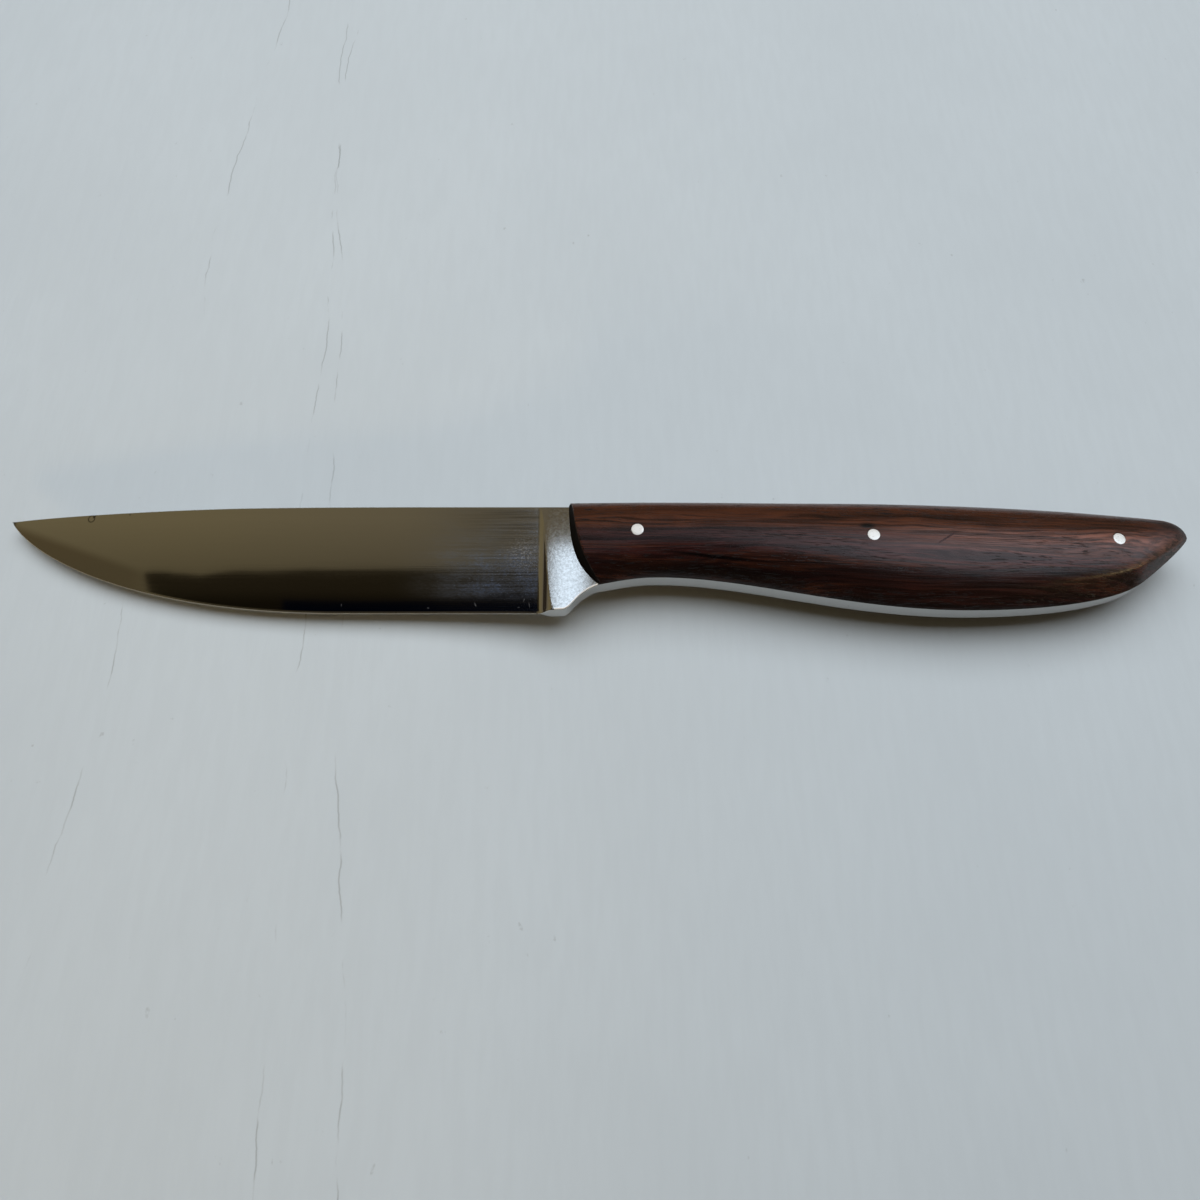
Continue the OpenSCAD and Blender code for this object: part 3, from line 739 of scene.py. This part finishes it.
class Tree:
    """A node tree that is being built: a material's, a shared group's or the world's."""

    def __init__(self, tree):
        """Empties the tree, which is then built up node by node."""
        tree.nodes.clear()
        self.tree = tree

    def node(self, kind, inputs=None, **settings):
        """Adds a node, makes its settings, and sets or links its inputs, given by name or number."""
        made = self.tree.nodes.new(kind)
        for key, value in settings.items():
            setattr(made, key, value)
        for key, value in (inputs or {}).items():
            if isinstance(value, Value):
                self.tree.links.new(value.socket, made.inputs[key])
            else:
                made.inputs[key].default_value = value
        return made

    def value(self, kind, inputs=None, output=0, **settings):
        """One output of a new node."""
        return Value(self, self.node(kind, inputs, **settings).outputs[output])

    def math(self, operation, *values, clamp=False):
        """The result of a Math node."""
        return self.value("ShaderNodeMath", dict(enumerate(values)), operation=operation, use_clamp=clamp)

    def vector(self, operation, *values, output="Vector"):
        """The result of a Vector Math node."""
        return self.value("ShaderNodeVectorMath", dict(enumerate(values)), output, operation=operation)

    def split(self, vector):
        """The three numbers of a vector."""
        return [Value(self, socket) for socket in self.node("ShaderNodeSeparateXYZ", {0: vector}).outputs]

    def between(self, share, a, b):
        """The number that lies a share of the way from a to b."""
        return self.value("ShaderNodeMix", {0: share, 2: a, 3: b}, data_type="FLOAT")

    def coats(self, tone, *coats):
        """A colour with further ones laid over it in turn, each with its own share."""
        for share, over in coats:
            inputs = {0: share, 6: tone, 7: over}
            tone = self.value("ShaderNodeMix", inputs, 2, data_type="RGBA", clamp_factor=True)
        return tone

    def group(self, name, inputs):
        """The output of one of the shared groups."""
        return self.value("ShaderNodeGroup", inputs, node_tree=bpy.data.node_groups[name])

    def grain(self, name, place):
        """One of the named grains at a place."""
        stretch, low, high, detail = GRAINS[name]
        inputs = {"Vector": place, "Stretch": stretch, "Detail": detail, "Low": low, "High": high}
        return self.group("Drawn-out Grain", inputs)

    def mark(self, place, described, softness):
        """One mark at a place, soft over a share of its half size."""
        centre, half, turned = described
        places = {"Centre": (*np.multiply(centre, MM), 0.0), "Half Size": (*np.multiply(half, MM), 1.0)}
        return self.group("Mark", {"Vector": place, "Turn": turned, "Softness": softness, **places})

    def place(self, kind="Object"):
        """The coordinates of one kind."""
        return self.value("ShaderNodeTexCoord", output=kind)

    def attribute(self, name):
        """A piece's own attribute."""
        return self.value("ShaderNodeAttribute", output="Fac", attribute_name=name)

    def rays(self, kind):
        """A share of 1 for rays of one kind."""
        return self.value("ShaderNodeLightPath", output=f"Is {kind} Ray")

    def end(self, kind, inputs, output="ShaderNodeOutputMaterial"):
        """Ends the tree with its shader."""
        self.node(output, {0: self.value(kind, inputs)})

    def polish(self, inputs, strength, depth, height):
        """Ends a material with the Principled shader over a bump of that strength, depth and height."""
        bump = self.value("ShaderNodeBump", {"Strength": strength, "Distance": depth, "Height": height})
        self.end("ShaderNodeBsdfPrincipled", {**inputs, "Normal": bump})


def colour(values, share=1.0):
    """A colour property as four numbers, made darker or lighter by a share."""
    return tuple(v * share for v in values) + (1.0,)


def new_group(name, inputs, output):
    """Makes a shader node group with its named inputs and one output, and gives its insides."""
    made = bpy.data.node_groups.new(name, "ShaderNodeTree")
    for key, (kind, default) in inputs.items():
        socket = made.interface.new_socket(name=key, in_out="INPUT", socket_type=kind)
        socket.default_value = default
    made.interface.new_socket(name=output, in_out="OUTPUT", socket_type="NodeSocketFloat")
    tree = Tree(made)
    sockets = tree.node("NodeGroupInput").outputs
    return tree, {key: Value(tree, sockets[key]) for key in inputs}


def make_groups():
    """The effects that several finishes share: drawn-out grain, and single marks."""
    number, vector = "NodeSocketFloat", "NodeSocketVector"
    inputs = {
        "Vector": (vector, (0, 0, 0)),
        "Stretch": (vector, (100, 1000, 1000)),
        "Detail": (number, 3.0),
        "Low": (number, 0.35),
        "High": (number, 0.65),
    }
    tree, given = new_group("Drawn-out Grain", inputs, "Value")
    inputs = {"Vector": tree.vector("MULTIPLY", given["Vector"], given["Stretch"]), "Scale": 1.0}
    noise = tree.value("ShaderNodeTexNoise", {**inputs, "Detail": given["Detail"]})
    tree.node("NodeGroupOutput", {0: noise.ramp(given["Low"], given["High"])})

    inputs = {
        "Vector": (vector, (0, 0, 0)),
        "Centre": (vector, (0, 0, 0)),
        "Turn": (number, 0.0),
        "Half Size": (vector, (MM, MM, 1.0)),
        "Softness": (number, 0.5),
    }
    tree, given = new_group("Mark", inputs, "Mask")
    offset = tree.vector("SUBTRACT", given["Vector"], given["Centre"])
    inputs = {"Vector": offset, "Angle": given["Turn"]}
    turned = tree.value("ShaderNodeVectorRotate", inputs, rotation_type="Z_AXIS")
    share = tree.vector("DIVIDE", turned, given["Half Size"])
    distance = tree.vector("LENGTH", share, output="Value")
    tree.node("NodeGroupOutput", {0: distance.ramp(1.0 - given["Softness"], 1.0, 1.0, 0.0)})


def new_material(name):
    """An empty material and its tree."""
    made = bpy.data.materials.new(name)
    made.use_nodes = True
    return made, Tree(made.node_tree)


def steel_finish(steel, plan):
    """Steel ground lengthwise: clear at the tip, hazy near the plunge, satin and mottled on the ricasso,
    with painted reflections, painted shade and a painted highlight.
    """
    made, tree = new_material("ground steel")
    place = tree.place()
    x, y, z = tree.split(place)
    plain, plunge = steel.colour, plan.plunge_x
    kinds = ("streaks", "brushing", "haze", "satin", "clouds")
    streaks, brushed, broad, satin, clouds = (tree.grain(f"steel {kind}", place) for kind in kinds)
    bevel, corner = tree.attribute("bevel"), tree.attribute("painted_corner_highlight")

    # Where the finish changes: the ricasso's faces, the hazy stretch before the plunge, and its nearer half
    half_face = steel.thickness / 2
    on_face = abs(z - steel.middle).ramp(half_face - 0.20 * MM, half_face - 0.05 * MM)
    on_ricasso = x.ramp(plunge + 1.2 * MM, plunge + 2.8 * MM) * on_face
    near_plunge = x.ramp(plunge - 30 * MM, plunge - 5 * MM) * x.ramp(plunge + 0.4 * MM, plunge)
    near_plunge = near_plunge * y.ramp(11.5 * MM, 10.6 * MM)
    nearer = near_plunge * x.ramp(plunge - 22 * MM, plunge - 4 * MM)
    off_edges = (y.ramp(10.0 * MM, 4.5 * MM) * 0.62 + 0.38) * y.ramp(-9.5 * MM, -7.0 * MM)

    # Haze, dark lines, frosted specks and nicks
    haze = (broad * 0.32 + (brushed * 0.28 + 0.27)) * (clouds * 0.5 + 0.5)
    haze = haze * (tree.grain("fine haze", place) * 0.5 + 0.72) * near_plunge * off_edges
    dark_lines = tree.math("MULTIPLY", nearer, brushed * -0.6 + 0.48, clamp=True)
    frost = tree.mark(place, FROST, 0.9) * tree.grain("frost", place)
    for nick in NICKS:
        frost = tree.math("MAXIMUM", frost, tree.mark(place, nick, 0.7) * 0.8)

    # Painted reflection and shade: a darker warm reflection painted over the ground face's sweep at the tip,
    # and painted shade falling towards the edge
    behind_tip = x - plan.tip_x
    below_reflected_sweep = 8.75 * MM - behind_tip * 0.364 - y
    sweep = below_reflected_sweep.ramp(-0.5 * MM, 2.0 * MM) * behind_tip.ramp(34 * MM, 26 * MM)
    # Painted shade: darker down the blade towards the edge, and darkest in a band along it, both before the
    # plunge
    painted_shade_downwards = y.ramp(9 * MM, -2.5 * MM, kind="LINEAR") * x.ramp(plunge, plunge - 2 * MM)
    painted_edge_shade = y.ramp(-6.0 * MM, -10.0 * MM) * x.ramp(plunge, plunge - 1 * MM)
    # Painted reflection of a bluish sky, bluer towards the edge, for the colour of the haze
    painted_sky_reflection = tree.coats(SKY_REFLECTION_GREY, (y.ramp(4.5 * MM, -2.0 * MM), SKY_REFLECTION_BLUE))

    ring = tree.mark(place, RING, 0.25) - tree.mark(place, RING_INSIDE, 0.25)
    spots = tree.math("MAXIMUM", tree.mark(place, DOT, 0.8), tree.mark(place, SPECK, 0.7))
    stain = tree.math("MAXIMUM", ring * 0.75, spots * 0.85)
    # Of these coats, the sweep is a painted reflection, the fall towards the edge and the band along it are
    # painted shade, the haze's cool tone is a painted sky reflection, and the white corners are a painted
    # highlight.
    tone = tree.coats(
        colour(plain),
        (streaks * 0.08, colour(plain, 0.75)),
        (sweep, SWEEP_REFLECTION_TONE),
        (near_plunge * 0.5, colour(plain, 0.55)),
        (painted_shade_downwards * (near_plunge * -0.4 + 0.6), colour(plain, 0.45)),
        (dark_lines, colour(plain, 0.25)),
        (haze * 0.90, painted_sky_reflection),
        (painted_edge_shade * (near_plunge * -0.3 + 0.65), colour(plain, 0.10)),
        (frost * 0.5, FROSTED),
        (on_ricasso * tree.grain("blotches", place) * 0.27, colour(plain, 0.45)),
        (stain, STAINED),
        (bevel, colour(plain, 1.25)),
        # Painted highlight: the choil's broken corners white and almost without metal, so they show as a
        # bright line
        (corner, WHITE),
    )
    rough = streaks * 0.02 + 0.038 + near_plunge * (broad * 0.025 + 0.01)
    rough = tree.between(on_ricasso, rough, satin * 0.05 + 0.065)
    rough = tree.between(bevel, rough, 0.42) + stain * 0.3
    metal = 1.0 - haze * y.ramp(5.0 * MM, -3.0 * MM, 0.09, 0.19)
    metal = metal - bevel * x.ramp(-70 * MM, -25 * MM, 0.08, 0.0) - frost * 0.14
    metal = tree.math("SUBTRACT", metal, corner * 0.95, clamp=True)
    lines = (1.0 - on_ricasso) * streaks * (near_plunge * 0.9 + 0.05)
    inputs = {"Base Color": tone, "Roughness": rough, "Metallic": metal}
    tree.polish(inputs, 0.05, 0.02 * MM, lines + satin * on_ricasso * 0.5)
    return made


def wood_finish(handle, name, shift):
    """Dense oiled wood: amber along the spine, plum along the crown, dark red at the belly, with pores.

    The grain wanders: its levels are heights that drift by noise and fall a little towards the butt. A shift
    along the grain gives another run of it, and only the run without one has the streaks, knot and scratch.
    """
    made, tree = new_material(name)
    place = tree.place()
    x, y, _ = tree.split(place)
    dark, red, plum, amber = handle.dark_wood, handle.red_wood, handle.plum_wood, handle.amber_wood
    wander = tree.grain("wood wander", tree.vector("ADD", place, (shift, 0, 0))) - 0.5
    drift = wander * (2.6 * MM) + x * -0.035
    bent = tree.vector("ADD", place, tree.value("ShaderNodeCombineXYZ", {0: shift, 1: drift * -1.0, 2: 0.0}))
    level = tree.split(bent)[1]
    streaks, lines, fibre = (tree.grain(f"wood {kind}", bent) for kind in ("streaks", "lines", "fibre"))
    pores = tree.grain("pores", bent) * tree.grain("pore fields", bent)
    band = x.ramp(48 * MM, 80 * MM) * abs(level - 4.2 * MM).ramp(3.8 * MM, 1.6 * MM)
    pale = tree.coats(PALE_ROSE, (level.ramp(3.2 * MM, 5.4 * MM), PALE_AMBER))
    at_butt = x.ramp(106 * MM, 118 * MM)
    end = tree.attribute("end_grain_shade")
    joint_and_shade = tree.attribute("joint_and_shade") * (tree.grain("joint gaps", place) * 0.5 + 0.5)
    upper = tree.coats(colour(amber), (x.ramp(50 * MM, 100 * MM), colour(amber, 0.72)))
    lower = tree.coats(colour(red), (x.ramp(45 * MM, 80 * MM), colour(red, 2.0)))
    tone = tree.coats(
        colour(plum),
        (x.ramp(25 * MM, 90 * MM), colour(plum, 2.5)),
        (level.ramp(4.2 * MM, 6.6 * MM), upper),
        (level.ramp(0.5 * MM, -2.5 * MM), lower),
        (band * 0.75, pale),
        (at_butt * 0.5, colour(red, 1.8)),
        (streaks.ramp(0.60, 0.95) * 0.45, colour(amber)),
        (streaks.ramp(0.50, 0.0) * 0.70, colour(dark)),
        (lines.ramp(0.55, 0.0) * 0.62, colour(dark)),
        (fibre * 0.54, colour(dark, 1.3)),
        (y.ramp(6.4 * MM, 7.4 * MM) * 0.5, colour(amber, 0.75)),
    )
    if shift == 0:
        for streak, depth in DARK_STREAKS:
            uneven = lines * 0.5 + (depth - 0.2)
            share = tree.math("MULTIPLY", tree.mark(place, streak, 0.85), uneven, clamp=True)
            tone = tree.coats(tone, (share, colour(dark, 0.4)))
        tone = tree.coats(tone, (tree.mark(place, SCRATCH, 0.7), SCRATCHED))
    tone = tree.coats(
        tone,
        (pores * 0.85, colour(dark, 0.4)),
        # The front face's end grain nearly black: partly the end grain's own darkness, partly painted shade
        (end, colour(dark, 0.35)),
        # Dark joint along the steel: partly its own gaps, partly painted shade between the parts
        (joint_and_shade * 0.95, colour(dark, 0.1)),
    )
    rough = fibre * 0.07 + 0.19 + lines * 0.05 + (pores * 0.3 + at_butt * 0.22)
    rough = rough + (end * 0.75 + joint_and_shade * 0.25)
    height = fibre * 0.30 + lines * 0.25 - pores
    tree.polish({"Base Color": tone, "Roughness": rough, "IOR": 1.5}, 0.32, 0.05 * MM, height)
    return made


def pin_finish(handle):
    """Bright rod ends, sanded flush and polished, with fine scratches and a few specks."""
    made, tree = new_material("bright pins")
    place = tree.place()
    scratches, specks = tree.grain("pin scratches", place), tree.grain("pin specks", place)
    tone = tree.coats(colour(handle.pin_colour), (specks * 0.45, colour(handle.pin_colour, 0.45)))
    inputs = {"Base Color": tone, "Roughness": scratches * 0.12 + 0.28, "Metallic": 0.45}
    tree.polish(inputs, 0.06, 0.01 * MM, scratches - specks)
    return made


def floor_finish(studio):
    """A pale painted board, a little uneven in tone, with fine broken cracks.

    Seen straight from the camera it fades into the backdrop far from the knife.
    """
    made, tree = new_material("painted board")
    place = tree.place()
    x, y, _ = tree.split(place)
    paint = studio.floor_colour
    brushed, broken = tree.grain("brush marks", place), tree.grain("crack breaks", place)
    tone = tree.coats(
        colour(paint),
        (tree.grain("paint clouds", place) * 0.5, colour(paint, 0.94)),
        (brushed * 0.35, colour(paint, 0.93)),
        (tree.grain("paint specks", place) * 0.40, colour(paint, 0.45)),
    )
    wander = (tree.grain("crack wander", place) - 0.5) * (5 * MM)
    for start, lean in CRACKS:
        across = x - start * MM - y * lean + wander
        crack = abs(across).ramp(0.22 * MM, 0.02 * MM)
        tone = tree.coats(tone, (crack * broken * 0.55, colour(paint, 0.40)))
    faded = tree.vector("LENGTH", place, output="Value").ramp(0.26, 0.70) * tree.rays("Camera")
    inputs = {
        "Base Color": tree.coats(tone, (faded, BLACK)),
        "Emission Color": tree.coats(BLACK, (faded, colour(studio.backdrop_colour))),
        "Emission Strength": 1.0,
        "Roughness": 0.6,
    }
    made.cycles.emission_sampling = "NONE"
    tree.polish(inputs, 0.2, 0.1 * MM, brushed)
    return made


def glow(name, tone):
    """A plain even glow."""
    made, tree = new_material(name)
    tree.end("ShaderNodeEmission", {"Color": (*tone, 1.0), "Strength": 1.0})
    return made


# Pieces and stage


# Cards that only the steel and the wood mirror: their places along X, the lines in Y between which they
# hang, their height, and their glow. Dark ones stand for the ceiling, bright ones for windows.
CARD_LEFT, CARD_MIDDLE, CARD_RIGHT, FAR_OFF = -0.379, 0.085, 1.2, -0.9
CEILING, BELOW, WINDOW, GLEAM = 0.500, 0.499, 0.498, 0.497
DARK, PITCH = (0.024, 0.018, 0.009), (0.002, 0.004, 0.011)
CARDS = (
    ("dark_ceiling", (CARD_LEFT, -0.360, -0.352, -0.325, -0.269, -0.227, -0.050),
     (0.157, 0.126, 0.045, 0.045, 0.045, 0.045, 0.045),
     (0.158, 0.153, 0.150, 0.143, 0.143, 0.147, 0.149), CEILING, DARK),
    ("dark_ceiling_middle", (-0.050, CARD_MIDDLE), FAR_OFF, (0.149, 0.150), CEILING, DARK),
    ("dark_ceiling_right", (CARD_MIDDLE, CARD_RIGHT), FAR_OFF, -0.150, CEILING, DARK),
    ("black_ceiling", (-0.245, -0.110, -0.080, -0.050), 0.045, (0.1215, 0.1215, 0.127, 0.127), BELOW, PITCH),
    ("black_ceiling_middle", (-0.050, CARD_MIDDLE), FAR_OFF, 0.127, BELOW, PITCH),
    ("window_left", (-0.037, -0.010), 0.165, 0.2535, WINDOW, (1.35, 1.60, 1.88)),
    ("window_middle", (-0.010, CARD_MIDDLE), -0.030, 0.150, WINDOW, (0.44, 0.46, 0.52)),
    ("window_near", (CARD_MIDDLE, 0.170), (-0.075, -0.055), 0.250, WINDOW, (0.75, 0.85, 0.98)),
    ("window_right", (0.170, 0.235, 0.300, CARD_RIGHT), (-0.055, -0.080, -0.150, -0.150), 0.270, WINDOW,
     (1.15, 1.32, 1.50)),
    ("warm_gleam", (0.68, 1.40), -0.46, -0.33, GLEAM, (7.0, 5.2, 2.6)),
)

# Lamps: place, the point that each looks at, width, depth, watts, colour, and the beam's spread in degrees
LAMPS = (
    ("main_lamp", (0.0, 0.34, 0.80), (0, 0, 0), 1.4, 0.9, 10.5, (0.96, 0.99, 1.0), 180),
    ("warm_fill", (-0.08, -0.62, 0.15), (-0.080, 0, 0.004), 0.16, 0.06, 0.020, (1.0, 0.72, 0.38), 20),
)

# The camera: where it looks along X and Y, the sensor's width in mm, and the focal length over that width
LOOK_AT = (1.20 * MM, -8.58 * MM)
SENSOR, FOCAL_SHARE = 36.0, 901 / 1200
CLIP_NEAR, CLIP_FAR = 0.005, 20.0

# The board: its half width, how much it rises under the blade, and where, in what length and to what power
BOARD_HALF, BOARD_RISE, RISE_START, RISE_LENGTH, RISE_POWER = 3.0, 4.6 * MM, -2 * MM, 22 * MM, 1.3
FADE_X, FADE_X_LENGTH, FADE_Y, FADE_Y_LENGTH = -0.52, 0.36, 0.45, 0.37  # where the rise fades out
FAR_STEPS, NEAR_HALF, NEAR_STEPS = 25, 0.6, 241  # stations across the board, and across its nearer part


def sizes():
    """The sizes and colours of the steel and the handle, and the outlines that follow from them."""
    steel, handle = bpy.context.scene.knife_steel, bpy.context.scene.knife_handle
    return steel, handle, outlines(steel, handle)


def fit_out(piece, material, slot, *nodes):
    """Gives a finished piece its material and body, and hides the CAD nodes that it stands for. The slot is
    not used.
    """
    piece.data.materials.append(material)
    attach(piece, ROOT)
    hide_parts(*nodes)


class MakeSteel(Operator):
    """Make the blade, ricasso and tang as one piece of ground steel"""

    bl_idname = "knife.make_steel"
    bl_label = "Make Blade and Tang"

    def execute(self, context):
        steel, handle, plan = sizes()
        surface, marks = steel_surface(steel, handle, plan)
        piece = surface.to_object("ground_blade_and_tang", 7, attributes=marks)
        fit_out(piece, steel_finish(steel, plan), "steel", "blade_and_tang")
        return {"FINISHED"}


class MakeScales(Operator):
    """Make the two wooden scales"""

    bl_idname = "knife.make_scales"
    bl_label = "Make Scales"

    def execute(self, context):
        steel, handle, plan = sizes()
        for node, side, wood, shift in (
            ("left_scale", 1, "polished rosewood", 0.0),
            ("right_scale", -1, "polished rosewood twin", TWIN_SHIFT),
        ):
            surface, crest, marks = scale_surface(steel, handle, plan, side)
            piece = surface.to_object(f"carved_{node}", 24, crest, handle.front_round, marks)
            fit_out(piece, wood_finish(handle, wood, shift), "wood", node)
        return {"FINISHED"}


class MakePins(Operator):
    """Make the three pins"""

    bl_idname = "knife.make_pins"
    bl_label = "Make Pins"

    def execute(self, context):
        steel, handle, plan = sizes()
        material = pin_finish(handle)
        for node, centre in zip(("front_pin", "middle_pin", "rear_pin"), plan.pins):
            piece = pin_surface(steel, handle, plan, centre).to_object(f"flush_{node}", 30)
            fit_out(piece, material, "pin", node)
        return {"FINISHED"}


def flat_card(name, x, low, high, z, material):
    """A flat card that faces down at one height, between two lines y = low and y = high over the places x.

    Only mirrored rays see it.
    """
    ys = np.stack([np.broadcast_to(low, x.shape), np.broadcast_to(high, x.shape)], 1)
    xs = np.broadcast_to(x[:, None], ys.shape)
    surface = Surface()
    ids = surface.add_points(np.stack([xs, ys, np.full(xs.shape, z)], -1))
    surface.add_quads(grid_quads(ids), flip=True)
    card = surface.to_object(name, 30)
    card.data.materials.append(material)
    card.visible_camera = card.visible_diffuse = card.visible_shadow = card.visible_transmission = False


def floor_board(material):
    """A board that lies level under the handle and rises gently under the blade.

    It comes as near the blade as a table does under a knife that leans on its tip. Its height eases up from
    the front of the scales towards the tip, levels off, and fades out far from the knife.
    """
    far = np.linspace(-BOARD_HALF, BOARD_HALF, FAR_STEPS)
    near = np.linspace(-NEAR_HALF, NEAR_HALF, NEAR_STEPS)
    x = np.unique(np.concatenate([far, near]).round(6))
    xs, ys = np.meshgrid(x, x, indexing="ij")
    ahead = np.maximum(RISE_START - xs, 0)
    rise = BOARD_RISE * (1 - np.exp(-((ahead / RISE_LENGTH) ** RISE_POWER)))
    rise *= ease((xs - FADE_X) / FADE_X_LENGTH) * ease((FADE_Y - np.abs(ys)) / FADE_Y_LENGTH)
    surface = Surface()
    surface.add_quads(grid_quads(surface.add_points(np.stack([xs, ys, rise], -1))))
    board = surface.to_object("floor", 30)
    board.data.materials.append(material)


def lamp(name, place, target, width, depth, watts, tone, spread):
    """A soft rectangular lamp that lights the scene and isn't mirrored, with a beam of so many degrees."""
    data = bpy.data.lights.new(name, "AREA")
    data.shape = "RECTANGLE"
    data.size, data.size_y, data.energy, data.color = width, depth, watts, tone
    data.spread = math.radians(spread)
    made = bpy.data.objects.new(name, data)
    bpy.context.scene.collection.objects.link(made)
    made.location = place
    made.rotation_euler = Vector(np.subtract(target, place)).to_track_quat("-Z", "Y").to_euler()
    made.visible_glossy = False


def studio_room(studio):
    """The room as a world of soft tones: a warm ceiling, a darker horizon, the backdrop for the camera."""
    world = bpy.data.worlds.new("studio room")
    world.use_nodes = True
    tree = Tree(world.node_tree)
    across, onward, up = tree.split(tree.place("Generated"))
    ceiling = tree.coats((0.140, 0.118, 0.082, 1), (across.ramp(0.1, -0.55), (0.185, 0.150, 0.080, 1)))
    room = tree.coats(
        (0.13, 0.105, 0.080, 1),
        (across.ramp(-0.2, -0.7), (0.14, 0.118, 0.080, 1)),
        (across.ramp(-0.5, -0.9) * up.ramp(0.16, 0.08), (0.03, 0.022, 0.014, 1)),
        (up.ramp(0.15, 0.55), ceiling),
        (onward.ramp(0.0, -0.45), (0.045, 0.036, 0.024, 1)),
        (tree.rays("Diffuse"), (0.100, 0.074, 0.040, 1)),
        (tree.rays("Camera"), colour(studio.backdrop_colour)),
    )
    tree.end("ShaderNodeBackground", {"Color": room, "Strength": 1.0}, "ShaderNodeOutputWorld")
    return world


def photo_camera(studio, middle):
    """The camera, leaning back from straight above the point in the steel's mid-plane that it looks at."""
    data = bpy.data.cameras.new("camera")
    data.sensor_width, data.lens = SENSOR, FOCAL_SHARE * SENSOR
    data.clip_start, data.clip_end = CLIP_NEAR, CLIP_FAR
    camera = bpy.data.objects.new("camera", data)
    bpy.context.scene.collection.objects.link(camera)
    back = np.array([0, -math.sin(studio.camera_lean), math.cos(studio.camera_lean)])
    camera.location = np.array([*LOOK_AT, middle]) + back * studio.camera_distance
    camera.rotation_euler = (studio.camera_lean, 0, 0)
    return camera


class MakeStage(Operator):
    """Make the floor, the cards that the steel mirrors, the lamps, the room and the camera"""

    bl_idname = "knife.make_stage"
    bl_label = "Make Studio"

    def execute(self, context):
        scene = context.scene
        studio = scene.knife_studio
        floor_board(floor_finish(studio))
        for name, x, low, high, z, tone in CARDS:
            flat_card(name, np.array(x), low, high, z, glow(name, tone))
        for settings in LAMPS:
            lamp(*settings)
        scene.world = studio_room(studio)
        scene.camera = photo_camera(studio, scene.knife_steel.middle)
        scene.view_settings.view_transform = "Standard"
        return {"FINISHED"}


class KnifePanel(Panel):
    """Lists the knife's pieces, sizes and colours"""

    bl_idname = "VIEW3D_PT_steak_knife"
    bl_label = "Steak Knife"
    bl_space_type = "VIEW_3D"
    bl_region_type = "UI"
    bl_category = "Steak Knife"

    def draw(self, context):
        layout = self.layout
        for group in ("knife_steel", "knife_handle", "knife_studio"):
            box = layout.box()
            settings = getattr(context.scene, group)
            for key in settings.bl_rna.properties.keys():
                if key not in ("rna_type", "name"):
                    box.prop(settings, key)
        for operator in OPERATORS:
            layout.operator(operator.bl_idname)


OPERATORS = (MakeSteel, MakeScales, MakePins, MakeStage)
GROUPS = (("knife_steel", KnifeSteel), ("knife_handle", KnifeHandle), ("knife_studio", KnifeStudio))


def register():
    """Registers the classes and hangs the property groups on the scene."""
    for _, group in GROUPS:
        bpy.utils.register_class(group)
    for operator in OPERATORS:
        bpy.utils.register_class(operator)
    bpy.utils.register_class(KnifePanel)
    for key, group in GROUPS:
        setattr(bpy.types.Scene, key, PointerProperty(type=group))


def unregister():
    """Undoes register."""
    for key, _ in GROUPS:
        delattr(bpy.types.Scene, key)
    for made in (KnifePanel, *OPERATORS, *(group for _, group in GROUPS)):
        bpy.utils.unregister_class(made)


def main():
    """Makes the knife and the studio."""
    register()
    make_groups()
    bpy.ops.knife.make_steel()
    bpy.ops.knife.make_scales()
    bpy.ops.knife.make_pins()
    bpy.ops.knife.make_stage()


if __name__ == "__main__":
    main()
